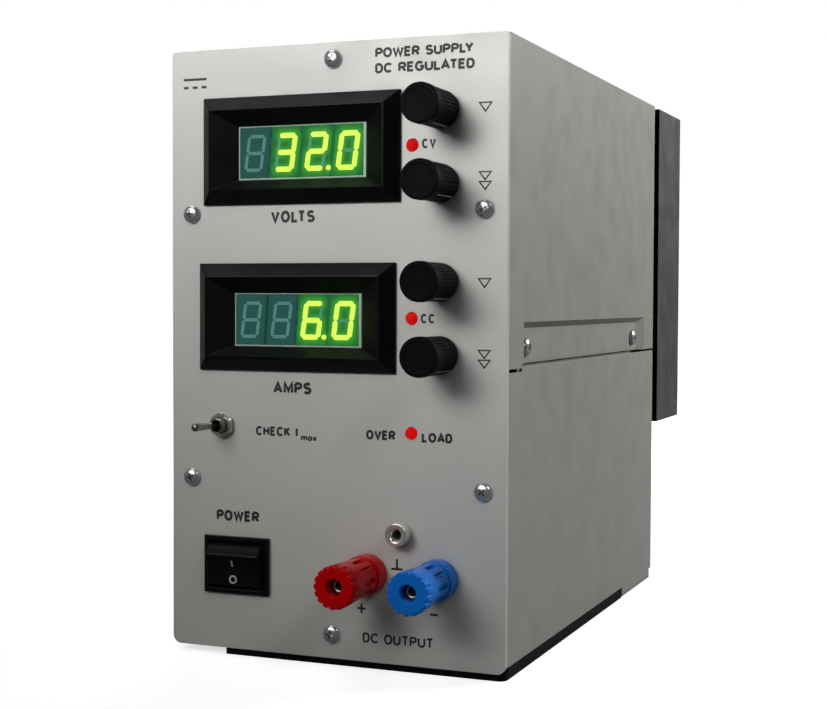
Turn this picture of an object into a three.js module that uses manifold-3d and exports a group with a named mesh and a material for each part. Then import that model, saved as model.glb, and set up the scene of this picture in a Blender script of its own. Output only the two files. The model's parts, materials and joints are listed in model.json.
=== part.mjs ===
// Bench power supply: a sheet-steel case with a flat front panel, two digital panel meters, four
// control knobs, a toggle switch, a mains rocker switch, an earth socket, two binding posts and a
// finned rear heat sink. Millimetres, +Z up. The front faces -Y. The origin is on the resting plane,
// at the middle of the case's footprint.
import * as THREE from "three";
import { ConvexGeometry } from "three/addons/geometries/ConvexGeometry.js";
import { mergeVertices } from "three/addons/utils/BufferGeometryUtils.js";
import Module from "manifold-3d";

const wasm = await Module();
wasm.setup();

// ---------------------------------------------------------------- driving dimensions
const CASE_WIDTH = 161;
const CASE_DEPTH = 266;
const CASE_TOP = 273;
const HALF = CASE_WIDTH / 2;
const FRONT = -CASE_DEPTH / 2; // the panel's front face
const REAR = CASE_DEPTH / 2; // the case's rear edge
const SHEET = 1.2; // steel sheet of both case halves
const GAP = 0.3; // assembly clearance between separate pieces

const PANEL = { thickness: 2.5, bottom: 3, topRadius: 1.5, bottomRadius: 4 };
const SHELL_FRONT = FRONT + PANEL.thickness;
const SEAM = { z: 133, gap: 1.2 }; // the line where the top cover meets the base shell
const SEAM_NOTCH = { length: 20, cover: 132, base: 130.4 }; // the seam steps down near the panel
const FLOOR = { bottom: 5.6, top: 5.6 + SHEET }; // the base shell's floor sheet
const FLANGE = { width: 14.3, height: 12 }; // return flanges that take the panel screws

// The joggled pocket in each side of the cover
const POCKET = { front: 22.5, rear: 243.5, top: 151.8, depth: 3 };
const RAMP = { front: 2.5, rear: 7.6, top: 2.8 }; // lengths of the pocket's sloping ends
const LEG = { start: 199, end: 262, bottom: 0.6 }; // rear stretch where the shell's sides reach down
const PLINTH = { end: 198.5, top: 5.4, floor: 1.6, wall: 5, radius: 3.5, relief: 27, lip: 2.7 };

const METER = { width: 96, height: 48, lip: 1.2, ridge: 6.5, inset: 5.7 };
const METER_WINDOW = { width: 62.4, height: 24, dx: 0.9, dz: -1.2, front: 0.5, back: 2, clearance: 0.2 };
const METER_NECK = { width: 91.4, height: 44.4, back: 3.4, caseDepth: 55 };
const METER_CUTOUT = { width: 92, height: 45 };
const VOLTS = { x: -15.8, z: 227.2 };
const AMPS = { x: -17.8, z: 153.2 };

const VOLTS_KNOBS_Z = 226; // middle of the upper pair of knobs
const KNOB = { x: 51, pitch: 31, radius: 8.5, waist: 8.2, front: 27, base: 1.5, cap: 21.5, bore: 3.2 };
const SHAFT = { radius: 3, front: 13.6, back: -13.5 };
const POT = { radius: 8, front: -4.5, back: -15.8 };

const LED = { radius: 2.5, x: 37.3, hole: 2.9, flange: 3.4 };
const OVERLOAD_Z = 103.8;

const TOGGLE = { x: -54.6, z: 104.4, bushing: 3.2, bore: 2.35, mouth: 6.4, nut: 11, pivot: 2.5 };
const LEVER = { ball: 1.9, lean: 12, length: 18, waist: 1.25, tip: 1.9 };
const ROCKER = { x: -47, z: 41.2, width: 32.6, height: 26, rim: 1.8 };
const TIPPER = { pivot: -2, radius: 10.3, valley: 6.6, crest: 50, heel: -8, lean: 11 };
const ROCKER_HOUSING = { width: 29.8, height: 23.6, depth: 20 };
const ROCKER_CAVITY = { width: 27.4, height: 21.2, depth: 9 };

const EARTH = { x: 32.8, z: 60.3, radius: 5.1, front: 6.5 };
const POST = { x: 34, pitch: 33, z: 41.8, front: 36.5, stud: 30.6, rim: 9.3, waist: 8.5 };
const COLLAR = { radius: 8.9, front: 9 };
const POST_WASHER = { radius: 6.4, thickness: 0.5 };
const BANANA = 2.05; // radius of a 4 mm socket

const SCREW = { head: 4.1, dome: 2.6, shank: 2, length: 9 };
const CLEARANCE_HOLE = 2.3;
const PANEL_SCREW_X = 70.2;
// Slots in the cover's top
const VENTS = { start: 8, count: 9, pitch: 11, width: 4, length: 46, rowPitch: 62 };
const PANEL_SCREW_Z = { top: 265.8, upper: 199.5, lower: 80.2, bottom: 13.9 };
const COVER_SCREW = { z: 140.6, front: 33, rear: 226 };

const SINK = { bottom: 90, standoff: 12.5, base: 7, depth: 57, fins: 16, fin: 2.6, endFin: 3.4 };
const REAR_PANEL = { thickness: 2, inset: 0.5 };
const BEHIND = REAR - REAR_PANEL.inset; // the rear panel's outer face
const INLET = { x: -34, z: 48, flange: [50, 30], body: [30, 22], cavity: [25, 17] }; // widths and heights
const FUSE = { x: 36, z: 48, radius: 6.4, collar: 9 };

const TRANSFORMER = { y: 30, radius: 58, hole: 16, bottom: 9, top: 61 };
const BOARD = { z: 96, x: 72, front: -62, rear: 112 };

// ---------------------------------------------------------------- materials
function paint(color, roughness, metalness) {
  return new THREE.MeshStandardMaterial({ color, roughness, metalness });
}

const MATERIAL = {
  panel: paint(0xc9c8c2, 0.4, 0.2),
  case: paint(0x8e8f89, 0.55, 0.1),
  black: paint(0x0c0d0e, 0.45, 0),
  knob: paint(0x111213, 0.6, 0),
  sink: paint(0x474c49, 0.5, 0.6),
  window: paint(0x0f4a38, 0.15, 0),
  red: paint(0xb50a14, 0.3, 0),
  blue: paint(0x1a63c8, 0.3, 0),
  led: paint(0xf01010, 0.25, 0),
  nickel: paint(0xc8c6bd, 0.22, 1),
  zinc: paint(0xb4bac0, 0.3, 1),
  board: paint(0x1f5a34, 0.6, 0),
  winding: paint(0xb87333, 0.5, 0.3),
};

// ---------------------------------------------------------------- solids
// A closed three.js geometry as a solid that can be joined and cut.
function solid(geometry) {
  const bare = geometry.clone();
  bare.deleteAttribute("normal");
  bare.deleteAttribute("uv");
  const merged = mergeVertices(bare, 1e-4);
  const corners = [];
  for (let i = 0; i < merged.index.count; i += 3) {
    const [a, b, c] = [0, 1, 2].map((k) => merged.index.getX(i + k));
    if (a !== b && b !== c && a !== c) corners.push(a, b, c);
  }
  return new wasm.Manifold(
    new wasm.Mesh({
      numProp: 3,
      vertProperties: merged.attributes.position.array,
      triVerts: new Uint32Array(corners),
    }),
  );
}

// A solid back as a three.js geometry with flat faces.
function geometryOf(made) {
  const mesh = made.getMesh();
  const positions = new Float32Array(mesh.numVert * 3);
  for (let i = 0; i < mesh.numVert; i++) {
    positions.set(mesh.vertProperties.subarray(i * mesh.numProp, i * mesh.numProp + 3), i * 3);
  }
  const indexed = new THREE.BufferGeometry();
  indexed.setAttribute("position", new THREE.BufferAttribute(positions, 3));
  indexed.setIndex(new THREE.BufferAttribute(mesh.triVerts, 1));
  const flat = indexed.toNonIndexed();
  flat.computeVertexNormals();
  return flat;
}

const join = (first, ...others) => geometryOf(others.reduce((sum, g) => sum.add(solid(g)), solid(first)));
const cut = (first, ...tools) =>
  geometryOf(tools.reduce((left, g) => left.subtract(solid(g)), solid(first)));

// A box between two values on each axis.
function block([x0, x1], [y0, y1], [z0, z1]) {
  const box = new THREE.BoxGeometry(x1 - x0, y1 - y0, z1 - z0);
  return box.translate((x0 + x1) / 2, (y0 + y1) / 2, (z0 + z1) / 2);
}

const centred = (middle, size) => [middle - size / 2, middle + size / 2];
const outward = (out) => FRONT - out; // the Y of a point this far in front of the panel's face

// A body turned about an axis that points out of the panel.
// The profile holds [radius, distance out of the panel].
function turned(profile, x, z, segments = 24) {
  const points = profile.map(([radius, out]) => new THREE.Vector2(radius, out));
  return new THREE.LatheGeometry(points, segments).rotateX(Math.PI).translate(x, FRONT, z);
}

// A plain round tool or rod along Y, between two distances out of the panel.
function rod(radius, back, front, x, z, segments = 16) {
  return turned([[0, back], [radius, back], [radius, front], [0, front]], x, z, segments);
}

// A six-sided nut or head along Y.
function hexagon(acrossFlats, back, front, x, z) {
  return rod(acrossFlats / Math.sqrt(3), back, front, x, z, 6);
}

// A closed frame lofted through rectangles, each [half width, half height, distance out of the panel] and,
// where a rectangle is off centre, its shift to the right and up.
function rectangularFrame(rings, x, z) {
  const corners = [[-1, -1], [1, -1], [1, 1], [-1, 1]];
  const ring3d = ([w, h, out, dx = 0, dz = 0]) =>
    corners.flatMap(([i, j]) => [x + dx + i * w, outward(out), z + dz + j * h]);
  const positions = rings.flatMap(ring3d);
  const index = [];
  rings.forEach((_, ring) => {
    const next = (ring + 1) % rings.length;
    for (let side = 0; side < 4; side++) {
      const along = (side + 1) % 4;
      const [a, b, c, d] = [ring * 4 + side, ring * 4 + along, next * 4 + along, next * 4 + side];
      index.push(a, b, c, a, c, d);
    }
  });
  const frame = new THREE.BufferGeometry();
  frame.setAttribute("position", new THREE.Float32BufferAttribute(positions, 3));
  frame.setIndex(index);
  return frame;
}

// A flat outline in X and Z, extruded backwards along Y from a distance out of the panel.
function plate(shape, out, thickness) {
  return new THREE.ExtrudeGeometry(shape, { depth: thickness, bevelEnabled: false, curveSegments: 6 })
    .rotateX(Math.PI / 2)
    .translate(0, outward(out) + thickness, 0);
}

// A flat outline in X and Y, extruded up along Z.
function slab(shape, bottom, top) {
  return new THREE.ExtrudeGeometry(shape, { depth: top - bottom, bevelEnabled: false, curveSegments: 6 })
    .translate(0, 0, bottom);
}

function outline(points) {
  return new THREE.Shape(points.map(([a, b]) => new THREE.Vector2(a, b)));
}

const group = new THREE.Group();
function add(name, geometry, material) {
  const mesh = new THREE.Mesh(geometry, material);
  mesh.name = name;
  group.add(mesh);
  return mesh;
}

// ---------------------------------------------------------------- where things sit on the panel
const PANEL_SCREWS = {
  panel_screw_top: [0, PANEL_SCREW_Z.top],
  panel_screw_bottom: [0, PANEL_SCREW_Z.bottom],
  panel_screw_upper_left: [-PANEL_SCREW_X, PANEL_SCREW_Z.upper],
  panel_screw_upper_right: [PANEL_SCREW_X, PANEL_SCREW_Z.upper],
  panel_screw_lower_left: [-PANEL_SCREW_X, PANEL_SCREW_Z.lower],
  panel_screw_lower_right: [PANEL_SCREW_X, PANEL_SCREW_Z.lower],
};
const KNOBS = {
  volts_fine: VOLTS_KNOBS_Z + KNOB.pitch / 2,
  volts_coarse: VOLTS_KNOBS_Z - KNOB.pitch / 2,
  amps_fine: AMPS.z + KNOB.pitch / 2,
  amps_coarse: AMPS.z - KNOB.pitch / 2,
};
const LEDS = { cv_led: VOLTS.z, cc_led: AMPS.z, overload_led: OVERLOAD_Z };
const POSTS = {
  red: [POST.x - POST.pitch / 2, MATERIAL.red],
  blue: [POST.x + POST.pitch / 2, MATERIAL.blue],
};

// ---------------------------------------------------------------- case
function frontPanel() {
  const { bottom, topRadius: r, bottomRadius: R } = PANEL;
  const shape = new THREE.Shape();
  shape.absarc(HALF - R, bottom + R, R, -Math.PI / 2, 0, false);
  shape.absarc(HALF - r, CASE_TOP - r, r, 0, Math.PI / 2, false);
  shape.absarc(-HALF + r, CASE_TOP - r, r, Math.PI / 2, Math.PI, false);
  shape.absarc(-HALF + R, bottom + R, R, Math.PI, Math.PI * 1.5, false);
  const hole = (radius, x, z) => rod(radius, -PANEL.thickness - 1, 1, x, z);
  const window = (width, height, { x, z }) =>
    block(centred(x, width), [FRONT - 1, SHELL_FRONT + 1], centred(z, height));
  return cut(
    plate(shape, 0, PANEL.thickness),
    window(METER_CUTOUT.width, METER_CUTOUT.height, VOLTS),
    window(METER_CUTOUT.width, METER_CUTOUT.height, AMPS),
    window(ROCKER_HOUSING.width + 0.4, ROCKER_HOUSING.height + 0.4, ROCKER),
    hole(TOGGLE.bushing + 0.2, TOGGLE.x, TOGGLE.z),
    hole(4.3, EARTH.x, EARTH.z),
    ...Object.values(POSTS).map(([x]) => hole(5.3, x, POST.z)),
    ...Object.values(KNOBS).map((z) => hole(SHAFT.radius + 0.6, KNOB.x, z)),
    ...Object.values(LEDS).map((z) => hole(LED.hole, LED.x, z)),
    ...Object.values(PANEL_SCREWS).map(([x, z]) => hole(CLEARANCE_HOLE, x, z)),
  );
}

// Return flanges at one end of a case half: two sides and, at z0 or z1, a strip across.
function endFlanges(y, z0, z1, acrossFromBottom) {
  const inner = HALF - SHEET / 2;
  const depth = [y, y + SHEET];
  const across = acrossFromBottom ? [z0, z0 + FLANGE.height] : [z1 - FLANGE.height, z1];
  return [
    block([-inner, -inner + FLANGE.width], depth, [z0, z1]),
    block([inner - FLANGE.width, inner], depth, [z0, z1]),
    block([-inner, inner], depth, across),
  ];
}

const panelScrewHoles = () =>
  Object.values(PANEL_SCREWS).map(([x, z]) => rod(CLEARANCE_HOLE, -PANEL.thickness - 3, 1, x, z));

// A hole through one side wall, along X.
function sideHole(side, y, z, radius) {
  return new THREE.CylinderGeometry(radius, radius, 14, 24)
    .rotateZ(Math.PI / 2)
    .translate(side * (HALF - 4), y, z);
}

const coverScrewHoles = (radius) =>
  [-1, 1].flatMap((side) =>
    [COVER_SCREW.front, COVER_SCREW.rear].map((y) => sideHole(side, FRONT + y, COVER_SCREW.z, radius)),
  );

// A long block between two X values that follows the sloping ends and top of a side pocket,
// moved outwards by an offset.
function pocketPrism(side, offset, innerX, outerX, bottom) {
  const inset = (x, ramp) => ((HALF - x) * ramp - offset * Math.hypot(POCKET.depth, ramp)) / POCKET.depth;
  const corners = [];
  for (const x of [innerX, outerX]) {
    const front = FRONT + POCKET.front + inset(x, RAMP.front);
    const rear = FRONT + POCKET.rear - inset(x, RAMP.rear);
    const top = POCKET.top - inset(x, RAMP.top);
    for (const y of [front, rear]) {
      for (const z of [bottom, top]) corners.push(new THREE.Vector3(side * x, y, z));
    }
  }
  return new ConvexGeometry(corners);
}

// A stretch of both side walls, thickened inwards by a margin.
function sideWalls(y, z, margin) {
  const inner = HALF - SHEET - margin;
  return [block([-HALF - margin, -inner], y, z), block([inner, HALF + margin], y, z)];
}

function topCover() {
  const bottom = SEAM.z + SEAM.gap / 2;
  const wrap = block([-HALF, HALF], [SHELL_FRONT, REAR], [bottom, CASE_TOP]);
  const through = [SHELL_FRONT - 1, REAR + 1];
  const inside = block([-HALF + SHEET, HALF - SHEET], through, [bottom - 1, CASE_TOP - SHEET]);
  const flangeTop = CASE_TOP - SHEET / 2;
  const skins = [-1, 1].map((side) =>
    pocketPrism(side, SHEET, HALF - POCKET.depth - SHEET, HALF - 0.1, bottom));
  const hollows = [-1, 1].map((side) =>
    pocketPrism(side, 0, HALF - POCKET.depth, HALF + 0.2, bottom - 1));
  const slots = [];
  for (let row = 0; row < 2; row++) {
    for (let i = 0; i < VENTS.count; i++) {
      const x = (row - 0.5) * VENTS.rowPitch;
      const y = VENTS.start + i * VENTS.pitch;
      slots.push(block(centred(x, VENTS.length), centred(y, VENTS.width), [CASE_TOP - 3, CASE_TOP + 1]));
    }
  }
  const drop = [SEAM_NOTCH.cover, bottom + 1];
  const noses = sideWalls([SHELL_FRONT, FRONT + SEAM_NOTCH.length], drop, 0);
  return cut(
    join(
      cut(wrap, inside),
      ...noses,
      ...skins,
      ...endFlanges(SHELL_FRONT, bottom, flangeTop, false),
      ...endFlanges(REAR - REAR_PANEL.inset - REAR_PANEL.thickness - SHEET - 0.1, bottom, flangeTop, false),
    ),
    ...hollows,
    ...slots,
    ...panelScrewHoles(),
    ...coverScrewHoles(CLEARANCE_HOLE),
  );
}

function baseShell() {
  const top = SEAM.z - SEAM.gap / 2;
  const wrap = block([-HALF, HALF], [SHELL_FRONT, REAR], [FLOOR.bottom, top]);
  const inside = block([-HALF + SHEET, HALF - SHEET], [SHELL_FRONT - 1, REAR + 1], [FLOOR.top, top + 1]);
  const flangeBottom = FLOOR.bottom + SHEET / 2;
  const pieces = [
    ...endFlanges(SHELL_FRONT, flangeBottom, top, true),
    ...endFlanges(REAR - REAR_PANEL.inset - REAR_PANEL.thickness - SHEET - 0.1, flangeBottom, top, true),
  ];
  // Joggled tabs behind the cover's pockets take the cover screws.
  const tabOuter = HALF - POCKET.depth - SHEET - 0.1;
  const tabInner = tabOuter - 2;
  for (const side of [-1, 1]) {
    const across = (a, b) => (side > 0 ? [a, b] : [-b, -a]);
    const along = [FRONT + 26, FRONT + 231];
    const leg = [FRONT + LEG.start, FRONT + LEG.end];
    pieces.push(block(across(HALF - SHEET, HALF), leg, [LEG.bottom, FLOOR.top]));
    pieces.push(block(across(tabInner, tabOuter), along, [121, POCKET.top - 3]));
    pieces.push(block(across(tabInner, HALF - SHEET / 2), along, [121, 123]));
  }
  return cut(
    join(cut(wrap, inside), ...pieces),
    ...sideWalls([FRONT, FRONT + SEAM_NOTCH.length + GAP], [SEAM_NOTCH.base, top + 1], GAP),
    ...panelScrewHoles(),
    ...coverScrewHoles(CLEARANCE_HOLE),
    turnedUp([[0, 0], [4.4, 0], [4.4, 10], [0, 10]], 0, TRANSFORMER.y, 16),
  );
}

// A black tray under the case. Its front left corner is cut back, and a low lip runs under the front panel.
function basePlinth() {
  const plan = (inset, front, rear) => {
    const [x, relief, r] = [HALF - GAP - inset, PLINTH.relief, Math.max(PLINTH.radius - inset, 1)];
    const shape = new THREE.Shape();
    shape.moveTo(-x, rear);
    shape.lineTo(-x, front + relief);
    shape.lineTo(-x + relief, front + relief);
    shape.lineTo(-x + relief, front);
    shape.absarc(x - r, front + r, r, -Math.PI / 2, 0, false);
    shape.lineTo(x, rear);
    return shape;
  };
  const rear = FRONT + PLINTH.end;
  return cut(
    join(
      slab(plan(0, SHELL_FRONT + 0.2, rear), 0, PLINTH.top),
      slab(plan(0, FRONT + 0.6, rear), 0, PLINTH.lip),
    ),
    slab(plan(PLINTH.wall, SHELL_FRONT + PLINTH.wall, rear - PLINTH.wall), PLINTH.floor, PLINTH.top + 1),
  );
}

function rearPanel() {
  const [x, y] = [HALF - SHEET - 0.2, REAR - REAR_PANEL.inset];
  const sheet = block([-x, x], [y - REAR_PANEL.thickness, y], [FLOOR.top + 0.2, CASE_TOP - SHEET - 0.2]);
  const through = [y - 5, y + 1];
  return cut(
    sheet,
    block(centred(0, 110), through, centred(200, 60)),
    block(centred(INLET.x, INLET.body[0] + 0.6), through, centred(INLET.z, INLET.body[1] + 0.6)),
    new THREE.CylinderGeometry(FUSE.radius + 0.3, FUSE.radius + 0.3, 12, 24).translate(FUSE.x, y, FUSE.z),
  );
}

// ---------------------------------------------------------------- rear: heat sink, inlet, fuse

function heatSink() {
  const front = REAR + SINK.standoff;
  const height = [SINK.bottom, CASE_TOP];
  const fin = (x, width) => block(centred(x, width), [front + SINK.base - 1, front + SINK.depth], height);
  const fins = [];
  const span = CASE_WIDTH - SINK.endFin;
  for (let i = 0; i < SINK.fins; i++) {
    const atEnd = i === 0 || i === SINK.fins - 1;
    fins.push(fin(-span / 2 + (i * span) / (SINK.fins - 1), atEnd ? SINK.endFin : SINK.fin));
  }
  return join(block([-HALF, HALF], [front, front + SINK.base], height), ...fins);
}

// A black frame that stands the heat sink off the rear panel and houses the power transistors.
function heatSinkSpacer() {
  const depth = [BEHIND + GAP / 2, REAR + SINK.standoff - GAP / 2];
  return cut(
    block([-HALF + 4, HALF - 4], depth, [SINK.bottom + 1, CASE_TOP - 2]),
    block([-HALF + 12, HALF - 12], [depth[0] - 1, depth[1] + 1], [SINK.bottom + 10, CASE_TOP - 12]),
  );
}

function powerTransistor(x) {
  const back = REAR + SINK.standoff - 0.2;
  const lead = (offset) => block(centred(x + offset, 1.3), [back - 3.4, back - 2.6], [176, 191]);
  return join(
    block(centred(x, 16), [back - 2, back], [190, 212]),
    block(centred(x, 15.6), [back - 5, back - 1], [190, 206]),
    ...[-5.4, 0, 5.4].map(lead),
  );
}

function mainsInlet() {
  const part = ([width, height], back, front, dx = 0, dz = 0) =>
    block(centred(INLET.x + dx, width), [BEHIND + back, BEHIND + front], centred(INLET.z + dz, height));
  const pin = (dx, dz) => part([2, 4], -17, -1, dx, dz);
  return join(
    cut(join(part(INLET.flange, 0.05, 3), part(INLET.body, -20, 1)), part(INLET.cavity, -15, 4)),
    pin(-7, -2),
    pin(0, 2),
    pin(7, -2),
  );
}

// A body turned about an axis that points out of the rear panel.
function turnedBehind(profile, x, z, segments = 20) {
  const points = profile.map(([radius, out]) => new THREE.Vector2(radius, out));
  return new THREE.LatheGeometry(points, segments).translate(x, BEHIND, z);
}

function fuseHolder() {
  const { radius, collar } = FUSE;
  return turnedBehind(
    [
      [0, -34], [5, -34], [radius, -30], [radius, 0.1], [collar, 0.1], [collar, 2.6], [5.4, 2.6], [5.4, -26],
      [0, -26],
    ],
    FUSE.x,
    FUSE.z,
  );
}

function fuseCap() {
  const profile = [[0, -24], [4.9, -24], [4.9, 2.9], [7.2, 2.9], [7.2, 8], [6.6, 8.8], [0, 8.8]];
  const driverSlot = block(centred(FUSE.x, 8.4), [BEHIND + 7.4, BEHIND + 10], centred(FUSE.z, 1.4));
  return cut(turnedBehind(profile, FUSE.x, FUSE.z), driverSlot);
}

// ---------------------------------------------------------------- meters and lamps
function meterBezel({ x, z }) {
  const [w, h] = [METER.width / 2, METER.height / 2];
  const { dx, dz } = METER_WINDOW;
  const [windowW, windowH] = [METER_WINDOW.width / 2, METER_WINDOW.height / 2];
  const [neckW, neckH] = [METER_NECK.width / 2, METER_NECK.height / 2];
  return rectangularFrame(
    [
      [w, h, 0],
      [w, h, METER.lip],
      [w - METER.inset, h - METER.inset, METER.ridge],
      [w - METER.inset - 0.8, h - METER.inset - 0.8, METER.ridge],
      [windowW, windowH, 0.8, dx, dz],
      [windowW, windowH, -METER_NECK.back, dx, dz],
      [neckW, neckH, -METER_NECK.back],
      [neckW, neckH, 0],
    ],
    x,
    z,
  );
}

function meterWindow({ x, z }) {
  const { width, height, dx, dz, front, back, clearance } = METER_WINDOW;
  return block(
    centred(x + dx, width - 2 * clearance),
    [outward(front), outward(-back)],
    centred(z + dz, height - 2 * clearance),
  );
}

function meterCase({ x, z }) {
  const start = FRONT + METER_NECK.back + GAP;
  const { width, height, caseDepth } = METER_NECK;
  return block(centred(x, width - 0.6), [start, start + caseDepth], centred(z, height - 0.6));
}

function lamp(z) {
  const { radius: r, x, flange } = LED;
  return turned(
    [
      [0, -9], [r, -9], [flange, -4], [flange, -2.7], [r, -2.7], [r, 0.4], [r * 0.87, 1.2], [r * 0.5, 1.8],
      [0, 2],
    ],
    x,
    z,
    16,
  );
}

// ---------------------------------------------------------------- knobs, shafts and the control board
function knob(z) {
  const { radius, waist, front, base, cap, bore } = KNOB;
  return turned(
    [
      [0, 14], [bore, 14], [bore, base], [waist, base], [waist, cap], [radius, cap + 0.4],
      [radius, front - 0.8], [radius - 0.8, front], [0, front],
    ],
    KNOB.x,
    z,
    28,
  );
}

const shaft = (z) => rod(SHAFT.radius, SHAFT.back, SHAFT.front, KNOB.x, z);

// One circuit board behind the panel carries the four potentiometers.
function controlBoard() {
  const boardFront = FRONT - POT.back;
  const board = block([33, 65], [boardFront - 0.5, boardFront + 1.6], [126, 256]);
  const pots = Object.values(KNOBS).map((z) => rod(POT.radius, POT.back, POT.front, KNOB.x, z, 20));
  const bore = (z) => rod(SHAFT.radius + 0.25, POT.back + 1.8, POT.front + 1, KNOB.x, z);
  const bores = Object.values(KNOBS).map(bore);
  return cut(join(board, ...pots), ...bores);
}

// ---------------------------------------------------------------- switches
function toggleSwitchBody() {
  const { x, z, bushing, bore, mouth } = TOGGLE;
  return cut(
    join(
      block(centred(x, 13), [FRONT + 4, FRONT + 14], centred(z, 8)),
      rod(bushing, -4.5, mouth, x, z),
    ),
    rod(bore, -3, mouth + 1, x, z),
  );
}

function toggleNut() {
  const { x, z, bushing, nut } = TOGGLE;
  return cut(hexagon(nut, 0.05, 2.6, x, z), rod(bushing + 0.2, -1, 4, x, z));
}

// The bat lever leans to the left. It is drawn along +Y from its pivot and then turned to its lean.
function toggleLever() {
  const { x, z, pivot } = TOGGLE;
  const { ball, lean, length, waist, tip } = LEVER;
  const profile = [[0, -3.2], [0.8, -3.2], [0.8, -1.6]];
  for (let i = 1; i <= 4; i++) {
    const angle = -Math.PI / 4 + (i * Math.PI) / 8;
    profile.push([ball * Math.cos(angle), ball * Math.sin(angle)]);
  }
  profile.push([waist, 2.2], [tip, length - 2], [tip - 0.3, length - 0.6], [tip - 1, length], [0, length]);
  const points = profile.map(([radius, out]) => new THREE.Vector2(radius, out));
  return new THREE.LatheGeometry(points, 16)
    .rotateX(Math.PI)
    .rotateZ(THREE.MathUtils.degToRad(-lean))
    .translate(x, outward(pivot), z);
}

function powerSwitchHousing() {
  const { x, z, width, height, rim } = ROCKER;
  const { width: w, height: h, depth } = ROCKER_HOUSING;
  const cavity = ROCKER_CAVITY;
  return cut(
    join(
      block(centred(x, width), [outward(rim), outward(0.02)], centred(z, height)),
      block(centred(x, w), [outward(rim / 2), FRONT + depth], centred(z, h)),
    ),
    block(centred(x, cavity.width), [outward(rim + 1), FRONT + cavity.depth], centred(z, cavity.height)),
  );
}

// The rocker's side view: a shallow V in front, round ends about the pivot.
// It rests with its lower half pressed in.
function powerRocker() {
  const { x, z } = ROCKER;
  const { pivot, radius, valley, lean } = TIPPER;
  const [crest, heel] = [TIPPER.crest, TIPPER.heel].map(THREE.MathUtils.degToRad);
  const side = new THREE.Shape();
  side.moveTo(0, valley);
  side.lineTo(radius * Math.cos(crest), radius * Math.sin(crest));
  side.absarc(0, 0, radius, crest, heel, true);
  side.absarc(0, 0, radius, Math.PI - heel, Math.PI - crest, true);
  const width = ROCKER_CAVITY.width - 0.8;
  // The outline's first axis becomes height and its second points out of the panel.
  return new THREE.ExtrudeGeometry(side, { depth: width, bevelEnabled: false, curveSegments: 8 })
    .translate(0, 0, -width / 2)
    .applyMatrix4(new THREE.Matrix4().makeBasis(
      new THREE.Vector3(0, 0, 1),
      new THREE.Vector3(0, -1, 0),
      new THREE.Vector3(1, 0, 0),
    ))
    .rotateX(THREE.MathUtils.degToRad(lean))
    .translate(x, outward(pivot), z);
}

// ---------------------------------------------------------------- sockets and binding posts
function earthSocket() {
  const { x, z, radius: r, front } = EARTH;
  return turned(
    [
      [0, -14], [4, -14], [4, 0.05], [r, 0.05], [r, front - 0.6], [r - 0.6, front], [3, front],
      [BANANA, front - 1.2], [BANANA, -12], [0, -12],
    ],
    x,
    z,
  );
}

function postCollar(x) {
  const { radius: r, front } = COLLAR;
  return turned(
    [
      [3.4, -4], [5, -4], [5, 0.05], [r - 0.4, 0.05], [r, 0.5], [r, front - 0.8], [r - 0.8, front],
      [3.4, front], [3.4, -4],
    ],
    x,
    POST.z,
  );
}

function postStud(x) {
  return turned(
    [
      [0, -20], [3, -20], [3, -8.5], [5.6, -8.5], [5.6, -4.4], [3, -4.4], [3, POST.stud - 0.6],
      [2.5, POST.stud], [BANANA, POST.stud], [BANANA, 6], [0, 6],
    ],
    x,
    POST.z,
  );
}

const postWasher = (x) => {
  const back = COLLAR.front + 0.1;
  const front = back + POST_WASHER.thickness;
  const { radius } = POST_WASHER;
  return turned([[3.3, back], [radius, back], [radius, front], [3.3, front], [3.3, back]], x, POST.z);
};

// The screw cap flares towards its front rim and has grip slots along its waist.
function postCap(x) {
  const { front, rim, waist } = POST;
  const back = COLLAR.front + POST_WASHER.thickness + 0.3;
  const profile = [
    [3.5, back], [waist, back], [waist + 0.2, back + 3], [waist, back + 9], [rim, front - 4],
    [rim, front - 0.8], [rim - 0.8, front], [3.6, front], [3.5, back],
  ];
  const slots = [];
  const count = 10;
  for (let i = 0; i < count; i++) {
    slots.push(
      block([-1.3, 1.3], [-(back + 12), -(back + 2)], [waist - 0.7, waist + 3])
        .rotateY((i * 2 * Math.PI) / count)
        .translate(x, FRONT, POST.z),
    );
  }
  return cut(turned(profile, x, POST.z), ...slots);
}

// ---------------------------------------------------------------- screws
// A pan-head screw with a cross recess, drawn with its head pointing along +Y from the seat at the origin.
function screw() {
  const { head, dome, shank, length } = SCREW;
  const profile = [
    [0, -length], [shank, -length], [shank, 0], [head, 0], [head, 0.8], [head * 0.8, 1.9],
    [head * 0.4, dome], [0, dome],
  ];
  const points = profile.map(([radius, out]) => new THREE.Vector2(radius, out));
  const arm = (turn) => new THREE.BoxGeometry(4.4, 3, 1.1).rotateY(turn).translate(0, dome, 0);
  return cut(new THREE.LatheGeometry(points, 14), arm(0), arm(Math.PI / 2));
}

// ---------------------------------------------------------------- inside the case
// A body turned about a vertical axis. The profile holds [radius, height].
function turnedUp(profile, x, y, segments = 28) {
  const points = profile.map(([radius, z]) => new THREE.Vector2(radius, z));
  return new THREE.LatheGeometry(points, segments).rotateX(Math.PI / 2).translate(x, y, 0);
}

function transformer() {
  const { y, radius: R, hole: r, bottom, top } = TRANSFORMER;
  const round = 7;
  return turnedUp(
    [
      [r, bottom + round], [r + round, bottom], [R - round, bottom], [R, bottom + round],
      [R, top - round], [R - round, top], [r + round, top], [r, top - round], [r, bottom + round],
    ],
    0,
    y,
  );
}

function transformerClampPlate() {
  const [low, high] = [TRANSFORMER.top + 0.2, TRANSFORMER.top + 2.2];
  return turnedUp([[4.3, low], [32, low], [32, high], [4.3, high], [4.3, low]], 0, TRANSFORMER.y);
}

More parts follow.
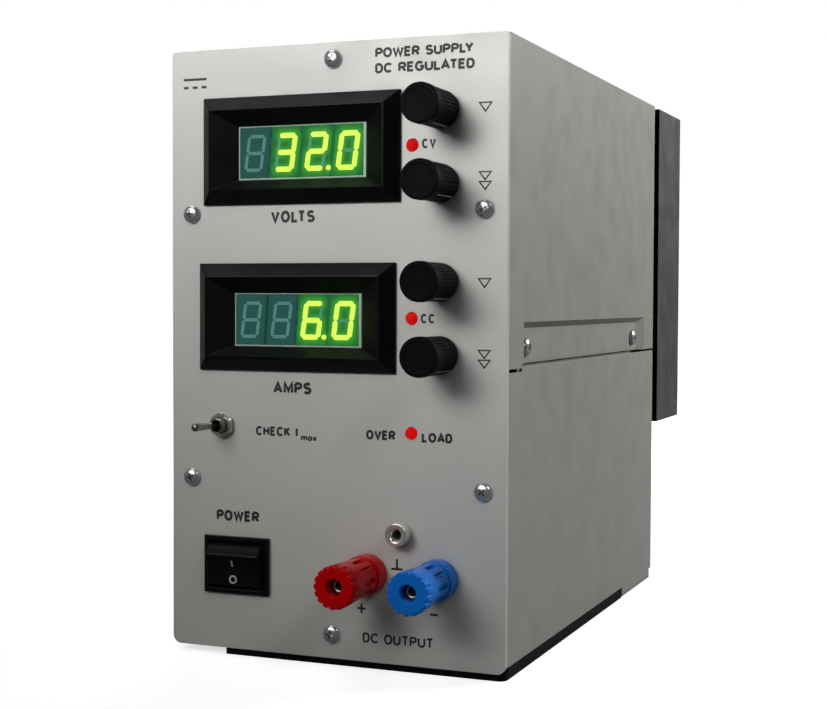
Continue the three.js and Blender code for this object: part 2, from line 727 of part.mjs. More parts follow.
function transformerBolt() {
  const seat = TRANSFORMER.top + 2.4;
  return join(
    turnedUp([[0, 2.6], [4, 2.6], [4, seat + 1], [0, seat + 1]], 0, TRANSFORMER.y, 24),
    turnedUp([[0, seat], [7.5, seat], [7.5, seat + 5.3], [0, seat + 5.3]], 0, TRANSFORMER.y, 6),
  );
}

function regulatorBoard() {
  const { z, x, front, rear } = BOARD;
  const foot = FLOOR.top + 0.1;
  const pillar = (side, y) =>
    turnedUp([[0, foot], [3.5, foot], [3.5, z + 1], [0, z + 1]], side * (x - 5), y, 12);
  const pillars = [-1, 1].flatMap((side) => [pillar(side, front + 5), pillar(side, rear - 5)]);
  return join(
    block([-x, x], [front, rear], [z, z + 1.6]),
    ...pillars,
    block([-14, 14], [70, 98], [z + 1, z + 12]), // bridge rectifier
    block([-60, -20], [-58, -48], [z + 1, z + 13]), // terminal strip
  );
}

function smoothingCapacitor(x) {
  const bottom = BOARD.z + 1.8;
  const top = bottom + 50;
  return turnedUp([[0, bottom], [17.5, bottom], [17.5, top - 2], [16.5, top], [0, top]], x, 10, 24);
}

// ---------------------------------------------------------------- the assembly
add("front_panel", frontPanel(), MATERIAL.panel);
add("top_cover", topCover(), MATERIAL.case);
add("base_shell", baseShell(), MATERIAL.case);
add("base_plinth", basePlinth(), MATERIAL.black);
add("rear_panel", rearPanel(), MATERIAL.case);
add("heat_sink", heatSink(), MATERIAL.sink);
add("heat_sink_spacer", heatSinkSpacer(), MATERIAL.black);
add("power_transistor_left", powerTransistor(-28), MATERIAL.black);
add("power_transistor_right", powerTransistor(28), MATERIAL.black);
add("mains_inlet", mainsInlet(), MATERIAL.black);
add("fuse_holder", fuseHolder(), MATERIAL.black);
add("fuse_cap", fuseCap(), MATERIAL.black);

for (const [name, place] of Object.entries({ volts: VOLTS, amps: AMPS })) {
  add(`${name}_bezel`, meterBezel(place), MATERIAL.black);
  add(`${name}_window`, meterWindow(place), MATERIAL.window);
  add(`${name}_meter_case`, meterCase(place), MATERIAL.black);
}
for (const [name, z] of Object.entries(LEDS)) add(name, lamp(z), MATERIAL.led);
for (const [name, z] of Object.entries(KNOBS)) {
  add(`${name}_knob`, knob(z), MATERIAL.knob);
  add(`${name}_shaft`, shaft(z), MATERIAL.nickel);
}
add("control_board", controlBoard(), MATERIAL.board);

add("toggle_switch_body", toggleSwitchBody(), MATERIAL.nickel);
add("toggle_nut", toggleNut(), MATERIAL.nickel);
add("toggle_lever", toggleLever(), MATERIAL.nickel);
add("power_switch_housing", powerSwitchHousing(), MATERIAL.black);
add("power_rocker", powerRocker(), MATERIAL.black);

add("earth_socket", earthSocket(), MATERIAL.nickel);
for (const [name, [x, plastic]] of Object.entries(POSTS)) {
  add(`${name}_post_collar`, postCollar(x), plastic);
  add(`${name}_post_stud`, postStud(x), MATERIAL.nickel);
  add(`${name}_post_washer`, postWasher(x), MATERIAL.nickel);
  add(`${name}_post_cap`, postCap(x), plastic);
}

for (const [name, [x, z]] of Object.entries(PANEL_SCREWS)) {
  const placed = add(name, screw(), MATERIAL.zinc);
  placed.rotation.x = Math.PI;
  placed.position.set(x, outward(0.05), z);
}
for (const [side, sideName] of [[-1, "left"], [1, "right"]]) {
  for (const end of ["front", "rear"]) {
    const placed = add(`cover_screw_${sideName}_${end}`, screw(), MATERIAL.zinc);
    placed.rotation.z = (-side * Math.PI) / 2;
    placed.position.set(side * (HALF - POCKET.depth + 0.05), FRONT + COVER_SCREW[end], COVER_SCREW.z);
  }
}

add("transformer", transformer(), MATERIAL.winding);
add("transformer_clamp_plate", transformerClampPlate(), MATERIAL.zinc);
add("transformer_bolt", transformerBolt(), MATERIAL.zinc);
add("regulator_board", regulatorBoard(), MATERIAL.board);
add("smoothing_capacitor_left", smoothingCapacitor(-28), MATERIAL.black);
add("smoothing_capacitor_right", smoothingCapacitor(28), MATERIAL.black);

export default group;
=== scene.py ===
"""Bench power supply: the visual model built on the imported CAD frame.

Lengths are metres and MM is one millimetre. Turned profiles are [radius, out] points in millimetres,
where out is the distance in front of the panel.
"""

import json
import math

import bmesh
import bpy
from mathutils import Matrix, Vector


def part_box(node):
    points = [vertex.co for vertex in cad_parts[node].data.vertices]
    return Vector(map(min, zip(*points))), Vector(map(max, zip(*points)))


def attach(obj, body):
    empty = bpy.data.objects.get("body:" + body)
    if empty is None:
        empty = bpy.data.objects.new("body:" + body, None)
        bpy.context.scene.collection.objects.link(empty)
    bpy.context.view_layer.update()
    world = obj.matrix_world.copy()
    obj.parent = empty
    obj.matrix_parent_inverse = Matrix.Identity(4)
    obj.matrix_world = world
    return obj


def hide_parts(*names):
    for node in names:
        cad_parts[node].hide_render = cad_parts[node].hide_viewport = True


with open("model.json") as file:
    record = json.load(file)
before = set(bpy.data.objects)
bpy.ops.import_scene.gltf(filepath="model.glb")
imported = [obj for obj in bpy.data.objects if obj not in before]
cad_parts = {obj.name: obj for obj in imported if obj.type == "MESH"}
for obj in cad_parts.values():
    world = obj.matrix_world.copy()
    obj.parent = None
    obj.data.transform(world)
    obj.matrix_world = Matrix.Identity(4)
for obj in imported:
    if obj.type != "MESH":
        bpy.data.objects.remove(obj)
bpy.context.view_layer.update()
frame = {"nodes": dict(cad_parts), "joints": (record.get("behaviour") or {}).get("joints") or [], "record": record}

MM = 0.001
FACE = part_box("front_panel")[0].y  # the panel's front face
RECORD = frame["record"]

# Camera: to the right of the front panel, looking slightly down at it
CAMERA_PLACE = Vector((0.2822, -0.7381, 0.1617))
CAMERA_AZIMUTH = 21.96
CAMERA_TILT = -2.1
CAMERA_ROLL = 0.23
LENS = 66.3

# Meter digits, in millimetres: ghost is the stroke of an unlit segment, trim the gap at a segment's ends
DIGIT = {
    "pitch": 15.1,
    "shift": -0.3,
    "width": 7.6,
    "height": 14.8,
    "slant": math.radians(8),
    "stroke": 2.25,
    "ghost": 1.5,
    "trim": 1.1,
}
SEGMENTS = {
    "a": ((-1, 1), (1, 1)),
    "b": ((1, 1), (1, 0)),
    "c": ((1, 0), (1, -1)),
    "d": ((1, -1), (-1, -1)),
    "e": ((-1, -1), (-1, 0)),
    "f": ((-1, 0), (-1, 1)),
    "g": ((-1, 0), (1, 0)),
}
DIGITS = {" ": "", "0": "abcdef", "2": "abged", "3": "abgcd", "6": "acdefg"}
READINGS = {"volts": " 32.0", "amps": "  6.0"}

# Small turned parts, in millimetres
LAMP = {"radius": 2.5, "depth": 9, "rim": 0.4, "crown": 1.6}
SCREW = {"shank": 2, "length": 9, "head": 4.1, "rim": 0.7, "crown": 1.9}
RECESS = {"arm": 5.4, "depth": 2.6, "width": 1.15, "sunk": 2.4}
BORE = 2.05  # radius of the 4 mm sockets
KNOB_RIBS, KNOB_CAP = 30, 5.5
POST_FLUTES, POST_NOTCHES = 10, 17
# Knob line angles: each line lies along the light streak on its knob, partly pointer, partly painted reflection.
POINTER_AND_GLINT_ANGLES = {"volts_fine": -68, "volts_coarse": -48, "amps_fine": -60, "amps_coarse": -52}  # degrees

# Soft lamps: place, aim, size, power in watts and spread in degrees
LAMPS = {
    "key": ((-0.2, -0.85, 0.58), (0.03, -0.13, 0.33), (1.3, 0.4), 1.6, 50),
    "overhead": ((-0.25, -0.25, 0.9), (0.0, -0.15, 0.15), (0.5, 0.4), 0.85, 180),
    "low_fill": ((0.4, -0.42, 0.42), (0.02, -0.16, 0.045), (0.16, 0.16), 0.012, 20),
    "side_fill": ((1.1, 0.95, 0.85), (0.08, 0.0, 0.2), (0.5, 0.5), 21.0, 180),
    "back_fill": ((-0.6, 1.2, 0.8), (0.0, 0.1, 0.15), (0.8, 0.6), 5.0, 180),
}
SURROUND, SURROUND_BLUE = 0.07, 0.92  # strength of the surround as a light, and its blue channel


# ------------------------------------------------------------------ places read from the frame
def centre(node):
    """The middle of a CAD node's box."""
    low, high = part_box(node)
    return (low + high) / 2


def axis_of(node):
    """(x, z) of the axis of a node turned about a line out of the panel."""
    middle = centre(node)
    return middle.x, middle.z


# ------------------------------------------------------------------ materials
class Nodes:
    """A small wrapper for building a node material."""

    def __init__(self, name):
        self.material = bpy.data.materials.new(name)
        self.material.use_nodes = True
        self.tree = self.material.node_tree
        self.shader = self.tree.nodes["Principled BSDF"]
        self.place = self.add("ShaderNodeTexCoord").outputs["Object"]

    def add(self, kind, inputs=None, **settings):
        node = self.tree.nodes.new(kind)
        for key, value in settings.items():
            setattr(node, key, value)
        for key, value in (inputs or {}).items():
            self.put(node.inputs[key], value)
        return node

    def put(self, socket, value):
        if isinstance(value, bpy.types.NodeSocket):
            self.tree.links.new(value, socket)
        else:
            socket.default_value = value

    def noise(self, scale, detail=3.0, stretch=(1, 1, 1)):
        mapped = self.add("ShaderNodeMapping", {"Vector": self.place, "Scale": stretch}).outputs[0]
        made = self.add("ShaderNodeTexNoise", {"Vector": mapped, "Scale": scale, "Detail": detail})
        return made.outputs["Fac"]

    def times(self, a, b):
        node = self.add("ShaderNodeMath", operation="MULTIPLY")
        self.put(node.inputs[0], a)
        self.put(node.inputs[1], b)
        return node.outputs[0]

    def ramp(self, value, low, high, to_low=0.0, to_high=1.0):
        inputs = {"Value": value, "From Min": low, "From Max": high, "To Min": to_low, "To Max": to_high}
        return self.add("ShaderNodeMapRange", inputs).outputs[0]

    def mix(self, factor, a, b, blend="MIX"):
        node = self.add("ShaderNodeMix", data_type="RGBA", blend_type=blend)
        self.put(node.inputs[0], factor)
        self.put(node.inputs[6], a)
        self.put(node.inputs[7], b)
        return node.outputs[2]

    def edges(self, radius):
        """1 on rounded-off edges and 0 on flat faces."""
        rounded = self.add("ShaderNodeBevel", {"Radius": radius}, samples=4)
        flat = self.add("ShaderNodeNewGeometry").outputs["Normal"]
        dot = self.add("ShaderNodeVectorMath", operation="DOT_PRODUCT")
        self.put(dot.inputs[0], rounded.outputs[0])
        self.put(dot.inputs[1], flat)
        return self.ramp(dot.outputs["Value"], 0.995, 0.9)

    def creases(self, distance):
        """1 deep in corners and gaps, 0 in the open: the mask for painted shade."""
        shade = self.add("ShaderNodeAmbientOcclusion", {"Distance": distance}, samples=4)
        return self.ramp(shade.outputs["AO"], 0.9, 0.35)


def tint(color, factor):
    return tuple(min(1.0, c * factor) for c in color) + (1.0,)


def finish(name, color, roughness, metallic=0.0, grain=(2500.0, 0.03), mottle=0.06, stretch=(1, 1, 1),
           wear=0.0, crease_shade=0.35, specular=0.5):
    """A painted, moulded or plated surface with grain, uneven tone, painted shade in its creases and worn edges.

    grain is (noise scale per metre, depth in millimetres); stretch draws the grain out along an axis.
    """
    n = Nodes(name)
    scale, depth = grain
    fine = n.noise(scale, 2.0, stretch)
    broad = n.noise(22.0, 4.0)
    tone = n.mix(n.ramp(broad, 0.3, 0.7), tint(color, 1 - mottle), tint(color, 1 + mottle))
    tone = n.mix(n.ramp(fine, 0.35, 0.65, 0.0, 0.5), tone, tint(color, 1 - 2 * mottle))
    # Painted shade: the colour darkens in corners and gaps, by the crease mask.
    if crease_shade:
        tone = n.mix(n.times(n.creases(4 * MM), crease_shade), tone, tint(color, 0.35))
    if wear:
        rub = n.times(n.edges(0.5 * MM), n.ramp(n.noise(160.0), 0.35, 0.6, 0.2, wear))
        tone = n.mix(rub, tone, tint(color, 1.6 + 1.2 * wear))
    n.put(n.shader.inputs["Base Color"], tone)
    smudge = n.ramp(n.noise(60.0, 5.0), 0.3, 0.7, roughness - 0.06, roughness + 0.07)
    n.put(n.shader.inputs["Roughness"], smudge)
    n.shader.inputs["Metallic"].default_value = metallic
    n.shader.inputs["Specular IOR Level"].default_value = specular
    bump = n.add("ShaderNodeBump", {"Height": fine, "Strength": 0.5, "Distance": depth * MM})
    n.put(n.shader.inputs["Normal"], bump.outputs[0])
    return n.material


def glowing(name, color, glow, strength, roughness=0.25):
    """A lit lens or display element, or an unlit segment given a painted glow, slightly uneven in brightness."""
    n = Nodes(name)
    uneven = n.ramp(n.noise(400.0), 0.3, 0.7, 0.88, 1.08)
    n.put(n.shader.inputs["Base Color"], n.mix(uneven, tint(color, 0.7), tint(color, 1.0)))
    n.shader.inputs["Roughness"].default_value = roughness
    n.shader.inputs["Emission Color"].default_value = (*glow, 1.0)
    n.put(n.shader.inputs["Emission Strength"], n.times(uneven, strength))
    n.shader.inputs["Specular IOR Level"].default_value = 0.08
    return n.material


def display_glass():
    """The window behind the digits, with a painted glow: dark teal where nothing is lit, a green halo round the
    lit segments.
    """
    n = Nodes("display_glass")
    glow = n.add("ShaderNodeAttribute", attribute_name="glow").outputs["Fac"]
    uneven = n.ramp(n.noise(500.0, 2.0), 0.3, 0.7, 0.94, 1.06)
    steps = n.add("ShaderNodeValToRGB", {"Fac": glow})
    stops = steps.color_ramp.elements
    stops[0].color = (*JOINT_GREEN, 1)
    stops[1].color = (*LIT_GREEN, 1)
    stops.new(UNLIT_GLOW).color = (*UNLIT_GREEN, 1)
    stops.new(DIM_GLOW).color = (*DIM_GREEN, 1)
    n.put(n.shader.inputs["Base Color"], (0.004, 0.02, 0.016, 1))
    n.put(n.shader.inputs["Emission Color"], steps.outputs["Color"])
    n.put(n.shader.inputs["Emission Strength"], uneven)
    n.shader.inputs["Roughness"].default_value = 0.1
    n.shader.inputs["Specular IOR Level"].default_value = 0.3
    return n.material


def winding():
    """Tape wrapped slantwise round a toroid."""
    n = Nodes("winding")
    bands = n.add("ShaderNodeTexWave", {"Vector": n.place, "Scale": 90.0, "Distortion": 1.5})
    color = n.mix(bands.outputs["Fac"], (0.55, 0.42, 0.1, 1), (0.72, 0.58, 0.2, 1))
    n.put(n.shader.inputs["Base Color"], color)
    n.put(n.shader.inputs["Roughness"], n.ramp(n.noise(300.0), 0.3, 0.7, 0.25, 0.5))
    bump = n.add("ShaderNodeBump", {"Height": bands.outputs["Fac"], "Strength": 0.6, "Distance": 0.3 * MM})
    n.put(n.shader.inputs["Normal"], bump.outputs[0])
    return n.material


def circuit_board():
    """Green solder mask over a faint track pattern."""
    n = Nodes("circuit_board")
    tracks = n.add("ShaderNodeTexBrick", {"Vector": n.place, "Scale": 120.0, "Mortar Size": 0.012})
    mask = n.mix(tracks.outputs["Fac"], (0.02, 0.13, 0.05, 1), (0.05, 0.25, 0.1, 1))
    stained = n.mix(n.ramp(n.noise(60.0), 0.3, 0.7, 0, 0.4), mask, (0.02, 0.1, 0.05, 1))
    n.put(n.shader.inputs["Base Color"], stained)
    n.shader.inputs["Roughness"].default_value = 0.35
    return n.material


GREY_PANEL = (0.60, 0.60, 0.575)
GREY_CASE = (0.33, 0.335, 0.31)
BLACK = (0.0035, 0.0038, 0.0042)
# Glass colours: dark joints between cells, and the painted glow of unlit cells, of lit cells and round lit
# segments.
JOINT_GREEN = (0.002, 0.016, 0.014)
UNLIT_GREEN = (0.018, 0.07, 0.06)
DIM_GREEN = (0.01, 0.14, 0.02)
LIT_GREEN = (0.07, 0.36, 0.03)
UNLIT_GLOW, DIM_GLOW = 0.25, 0.5  # values of the glow attribute that take the unlit and the dim green

# The crease weight of each finish sets how far painted shade darkens its corners and gaps.
MATERIAL = {
    "panel_paint": finish("panel_paint", GREY_PANEL, 0.42, 0.12, grain=(3200.0, 0.02), mottle=0.03,
                          crease_shade=0.3),
    "case_paint": finish("case_paint", GREY_CASE, 0.5, 0.1, grain=(1800.0, 0.05), mottle=0.02, wear=0.35,
                         crease_shade=0.8),
    "black_plastic": finish("black_plastic", BLACK, 0.36, grain=(2600.0, 0.03), mottle=0.15, wear=0.25,
                            specular=0.16),
    "knob_plastic": finish("knob_plastic", BLACK, 0.5, grain=(3500.0, 0.02), mottle=0.15, wear=0.1,
                           specular=0.04),
    "matte_black": finish("matte_black", BLACK, 0.8, grain=(2000.0, 0.03), mottle=0.15, specular=0.02),
    "transistor_epoxy": finish("transistor_epoxy", (0.02, 0.02, 0.02), 0.6, mottle=0.1),
    "heat_sink_anodised": finish("heat_sink_anodised", (0.115, 0.128, 0.113), 0.42, 0.5,
                                 grain=(900.0, 0.04), mottle=0.08, stretch=(1, 1, 0.03), wear=0.5),
    "nickel": finish("nickel", (0.8, 0.78, 0.7), 0.2, 0.75, grain=(1500.0, 0.004), mottle=0.05, crease_shade=0.8),
    "dark_nickel": finish("dark_nickel", (0.3, 0.29, 0.26), 0.24, 0.9, grain=(1500.0, 0.004), mottle=0.08,
                          crease_shade=0.9),
    "zinc": finish("zinc", (0.78, 0.82, 0.84), 0.22, 0.85, grain=(1200.0, 0.008), mottle=0.07, crease_shade=0.9),
    "red_plastic": finish("red_plastic", (0.56, 0.001, 0.003), 0.2, grain=(1500.0, 0.01), mottle=0.05,
                          specular=0.07),
    "blue_plastic": finish("blue_plastic", (0.006, 0.17, 0.68), 0.2, grain=(1500.0, 0.01), mottle=0.05,
                           specular=0.1),
    "meter_window": display_glass(),
    "lamp_red": glowing("lamp_red", (0.25, 0.001, 0.001), (1.0, 0.008, 0.008), 0.45, 0.6),
    "board": circuit_board(),
    "transformer_core": winding(),
    "capacitor_sleeve": finish("capacitor_sleeve", (0.02, 0.02, 0.035), 0.3, mottle=0.1),
}
INK = finish("legend_ink", (0.012, 0.016, 0.012), 0.55, grain=(4000.0, 0.005), mottle=0.2, crease_shade=0.0)
WHITE_MARK = finish("mark_white", (0.5, 0.5, 0.5), 0.5, grain=(3000.0, 0.01), mottle=0.1, crease_shade=0.0)
LIT_SEGMENT = glowing("lit_segment", (0.2, 0.4, 0.02), (0.66, 1.0, 0.12), 1.0)
# Painted glow: the faint and ghost segments are unlit, yet glow a little.
FAINT_SEGMENT = glowing("faint_segment", (0.02, 0.06, 0.04), (0.2, 0.85, 0.36), 0.3)
GHOST_SEGMENT = glowing("ghost_segment", (0.02, 0.06, 0.05), (0.28, 0.75, 0.68), 0.24)
# Painted highlight: a light-grey rim that stands for the light caught along each meter window's edge.
WINDOW_EDGE_HIGHLIGHT = finish("window_edge_highlight", (0.5, 0.55, 0.52), 0.3, grain=(2000.0, 0.01), mottle=0.08, crease_shade=0.0)


# ------------------------------------------------------------------ mesh helpers
def place(bm, name, body, material, replaces=(), crease=35):
    """Turns a bmesh into a piece that rides on a body, smooth except across sharp edges."""
    bmesh.ops.recalc_face_normals(bm, faces=bm.faces)
    for face in bm.faces:
        face.smooth = True
    for edge in bm.edges:
        edge.smooth = len(edge.link_faces) == 2 and edge.calc_face_angle(0) < math.radians(crease)
    mesh = bpy.data.meshes.new(name)
    bm.to_mesh(mesh)
    bm.free()
    mesh.materials.append(material)
    piece = bpy.data.objects.new(name, mesh)
    bpy.context.scene.collection.objects.link(piece)
    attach(piece, body)
    if replaces:
        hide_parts(*replaces)
    return piece


def fillet(profile, radius, steps=3):
    """Rounds the inner corners of a profile of [radius, out] points."""
    points = [Vector(p) for p in profile]
    made = [points[0]]
    for before, corner, after in zip(points, points[1:], points[2:]):
        to_before, to_after = before - corner, after - corner
        reach = min(radius, to_before.length * 0.45, to_after.length * 0.45)
        start = corner + to_before.normalized() * reach
        end = corner + to_after.normalized() * reach
        for i in range(steps + 1):
            t = i / steps
            made.append(start.lerp(corner, t).lerp(corner.lerp(end, t), t))
    made.append(points[-1])
    return made


def densify(profile, step):
    """Adds points along long stretches of a profile, so that a ripple can bend them."""
    made = [Vector(profile[0])]
    for before, after in zip(profile, profile[1:]):
        count = max(1, round((Vector(after) - Vector(before)).length / step))
        made.extend(Vector(before).lerp(Vector(after), (i + 1) / count) for i in range(count))
    return made


def turned(profile, x, z, steps=72, ripple=None, face=FACE, outward=-1):
    """A body turned about a line out of the panel. Profile points are [radius, out] in millimetres.

    ripple(radius, out, angle) returns the radius to use at that angle.
    """
    bm = bmesh.new()
    rings = []
    for radius, out in profile:
        y = face + outward * out * MM
        if radius < 1e-6:
            rings.append([bm.verts.new((x, y, z))])
            continue
        ring = []
        for i in range(steps):
            angle = 2 * math.pi * i / steps
            r = (ripple(radius, out, angle) if ripple else radius) * MM
            ring.append(bm.verts.new((x + r * math.cos(angle), y, z + r * math.sin(angle))))
        rings.append(ring)
    for a, b in zip(rings, rings[1:]):
        for i in range(steps):
            j = (i + 1) % steps
            corners = [a[i % len(a)], a[j % len(a)], b[j % len(b)], b[i % len(b)]]
            unique = list(dict.fromkeys(corners))
            if len(unique) > 2:
                bm.faces.new(unique)
    is_open = (Vector(profile[0]) - Vector(profile[-1])).length > 1e-6
    if len(rings[0]) > 1 and is_open:
        bm.faces.new(rings[0])
        bm.faces.new(rings[-1])
    bmesh.ops.remove_doubles(bm, verts=bm.verts, dist=1e-7)
    return bm


def dome(radius, base, height, steps):
    """Profile points over a rounded top, from just above its rim to its middle."""
    angles = [math.pi / 2 * i / steps for i in range(1, steps)]
    return [(radius * math.cos(a), base + height * math.sin(a)) for a in angles] + [(0, base + height)]


def smoothstep(low, high, value):
    t = max(0.0, min(1.0, (value - low) / (high - low)))
    return t * t * (3 - 2 * t)


def plate(bm, outline, y_back, y_front):
    """A flat outline of (x, z) points made into a solid between two Y values."""
    front = [bm.verts.new((x, y_front, z)) for x, z in outline]
    back = [bm.verts.new((x, y_back, z)) for x, z in outline]
    faces = [bm.faces.new(front), bm.faces.new(back[::-1])]
    for i in range(len(outline)):
        j = (i + 1) % len(outline)
        faces.append(bm.faces.new((front[i], back[i], back[j], front[j])))
    return faces


def flat_ring(outer, inner, y_back, y_front, rounding=0.12 * MM):
    """A flat frame between two outlines of (x, z) points and two Y values, with rounded edges."""
    bm = bmesh.new()
    front_out, front_in, back_out, back_in = (
        [bm.verts.new((x, y, z)) for x, z in outline]
        for y in (y_front, y_back)
        for outline in (outer, inner)
    )
    for a, b in ((front_out, front_in), (front_in, back_in), (back_in, back_out), (back_out, front_out)):
        for i in range(len(outer)):
            j = (i + 1) % len(outer)
            bm.faces.new((a[i], a[j], b[j], b[i]))
    bmesh.ops.recalc_face_normals(bm, faces=bm.faces)
    sharp = [e for e in bm.edges if e.calc_face_angle() > math.radians(30)]
    bmesh.ops.bevel(bm, geom=sharp, offset=rounding, segments=2, affect="EDGES")
    return bm


def rectangle(x0, x1, z0, z1):
    return [(x0, z0), (x1, z0), (x1, z1), (x0, z1)]


def capsule(start, end, width, steps=6):
    """The outline of a stroke with round ends."""
    start, end = Vector(start), Vector(end)
    heading = math.atan2(end.y - start.y, end.x - start.x)
    points = []
    for middle, turn in ((end, -math.pi / 2), (start, math.pi / 2)):
        for i in range(steps + 1):
            angle = heading + turn + math.pi * i / steps
            points.append((middle.x + math.cos(angle) * width / 2, middle.y + math.sin(angle) * width / 2))
    return points


# ------------------------------------------------------------------ CAD nodes that stay
# The width in millimetres of the rounded edges, for the nodes that show.
BEVELS = {
    "front_panel": 0.35,
    "top_cover": 0.45,
    "base_shell": 0.45,
    "base_plinth": 0.6,
    "rear_panel": 0.2,
    "heat_sink": 0.35,
    "heat_sink_spacer": 0.4,
    "mains_inlet": 0.5,
    "volts_bezel": 0.35,
    "amps_bezel": 0.35,
    "power_switch_housing": 0.45,
    "power_rocker": 0.9,
}
BEVEL_ANGLE = 28  # degrees


def dress_cad_nodes():
    """Gives every CAD node its slot's material, and rounds the edges of the ones that show.

    The spacer and the heat sink's face behind it take matte black as painted shade for the deep shadow between
    them.
    """
    slots = {row["node"]: row["material_slot"] for row in RECORD["subparts"]}
    for name, node in frame["nodes"].items():
        node.data.materials.clear()
        # Painted shade: the spacer takes matte black instead of its slot's material.
        surface = "matte_black" if name == "heat_sink_spacer" else slots[name]
        node.data.materials.append(MATERIAL[surface])
        # Painted shade: the heat sink's faces turned to the case take matte black.
        if name == "heat_sink":
            node.data.materials.append(MATERIAL["matte_black"])
            for polygon in node.data.polygons:
                polygon.material_index = int(polygon.normal.y < -0.9)
        if name not in BEVELS:
            continue
        weld = node.modifiers.new("weld", "WELD")
        weld.merge_threshold = 0.001 * MM
        flatten = node.modifiers.new("flatten", "DECIMATE")
        flatten.decimate_type = "DISSOLVE"
        flatten.angle_limit = math.radians(0.5)
        bevel = node.modifiers.new("bevel", "BEVEL")
        bevel.width = BEVELS[name] * MM
        bevel.segments = 3
        bevel.limit_method = "ANGLE"
        bevel.angle_limit = math.radians(BEVEL_ANGLE)
        bevel.harden_normals = True
        level = node.modifiers.new("level", "WEIGHTED_NORMAL")
        level.keep_sharp = True


# ------------------------------------------------------------------ knobs
def knob(name, line_angle):
    """A ribbed knob with a smooth stepped cap and a white line down its side, partly pointer and partly painted
    reflection.
    """
    x, z = axis_of(f"{name}_knob")
    low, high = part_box(f"{name}_knob")
    front = (FACE - low.y) / MM
    back = (FACE - high.y) / MM
    radius = (high.x - low.x) / 2 / MM
    cap = front - KNOB_CAP

    def ripple(r, out, angle):
        on_waist = smoothstep(back + 0.8, back + 2.0, out) * (1 - smoothstep(cap - 1.2, cap - 0.4, out))
        return r + (0.14 * math.cos(KNOB_RIBS * angle) - 0.1) * on_waist * (r > radius - 1.5)

    profile = [(3.2, back), (radius - 0.3, back), (radius - 0.3, cap), (radius, cap + 0.4), (radius, front)]
    profile += [(radius - 1.9, front), (radius - 2.2, front - 0.2), (0, front - 0.2)]
    shape = densify(fillet(profile, 0.7, 5), 1.2)
    bore = [(0, 13.9), (3.2, 13.9)]
    body = f"{name}_knob"
    bm = turned([Vector(p) for p in bore] + list(shape), x, z, steps=240, ripple=ripple)
    place(bm, f"{name}_knob_body", body, MATERIAL["knob_plastic"], [f"{name}_knob"])
    # The white line is partly a pointer and partly a painted reflection of the light streak on the knob's side.
    line = bmesh.new()
    length = (cap - 1.5 - (back + 1.5)) * MM
    bmesh.ops.create_cube(line, size=1.0)
    bmesh.ops.scale(line, verts=line.verts, vec=(0.5 * MM, length, 0.75 * MM))
    bmesh.ops.bevel(line, geom=line.edges[:], offset=0.12 * MM, segments=2, affect="EDGES")
    bmesh.ops.translate(line, verts=line.verts, vec=((radius - 0.45) * MM, 0, 0))
    turn = Matrix.Rotation(-math.radians(line_angle), 4, "Y")
    bmesh.ops.transform(line, matrix=turn, verts=line.verts)
    middle = FACE - (back + 1.5) * MM - length / 2
    bmesh.ops.translate(line, verts=line.verts, vec=(x, middle, z))
    place(line, f"{name}_knob_line", body, WHITE_MARK)


# ------------------------------------------------------------------ lamps, sockets, posts
def lamp(name):
    x, z = axis_of(name)
    radius, depth, rim = LAMP["radius"], LAMP["depth"], LAMP["rim"]
    profile = [(0, -depth), (radius, -depth), (radius, rim), *dome(radius, rim, LAMP["crown"], 10)]
    place(turned(profile, x, z, 48), f"{name}_lens", "case", MATERIAL["lamp_red"], [name])


def earth_socket():
    x, z = axis_of("earth_socket")
    front = (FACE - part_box("earth_socket")[0].y) / MM
    profile = [(0, -14), (4, -14), (4, 0.05), (5.1, 0.05), (5.1, front), (3.1, front), (BORE, front - 1.3)]
    profile += [(BORE, -12), (0, -12)]
    bm = turned(fillet(profile, 0.5, 4), x, z, 64)
    place(bm, "earth_socket_sleeve", "case", MATERIAL["nickel"], ["earth_socket"])


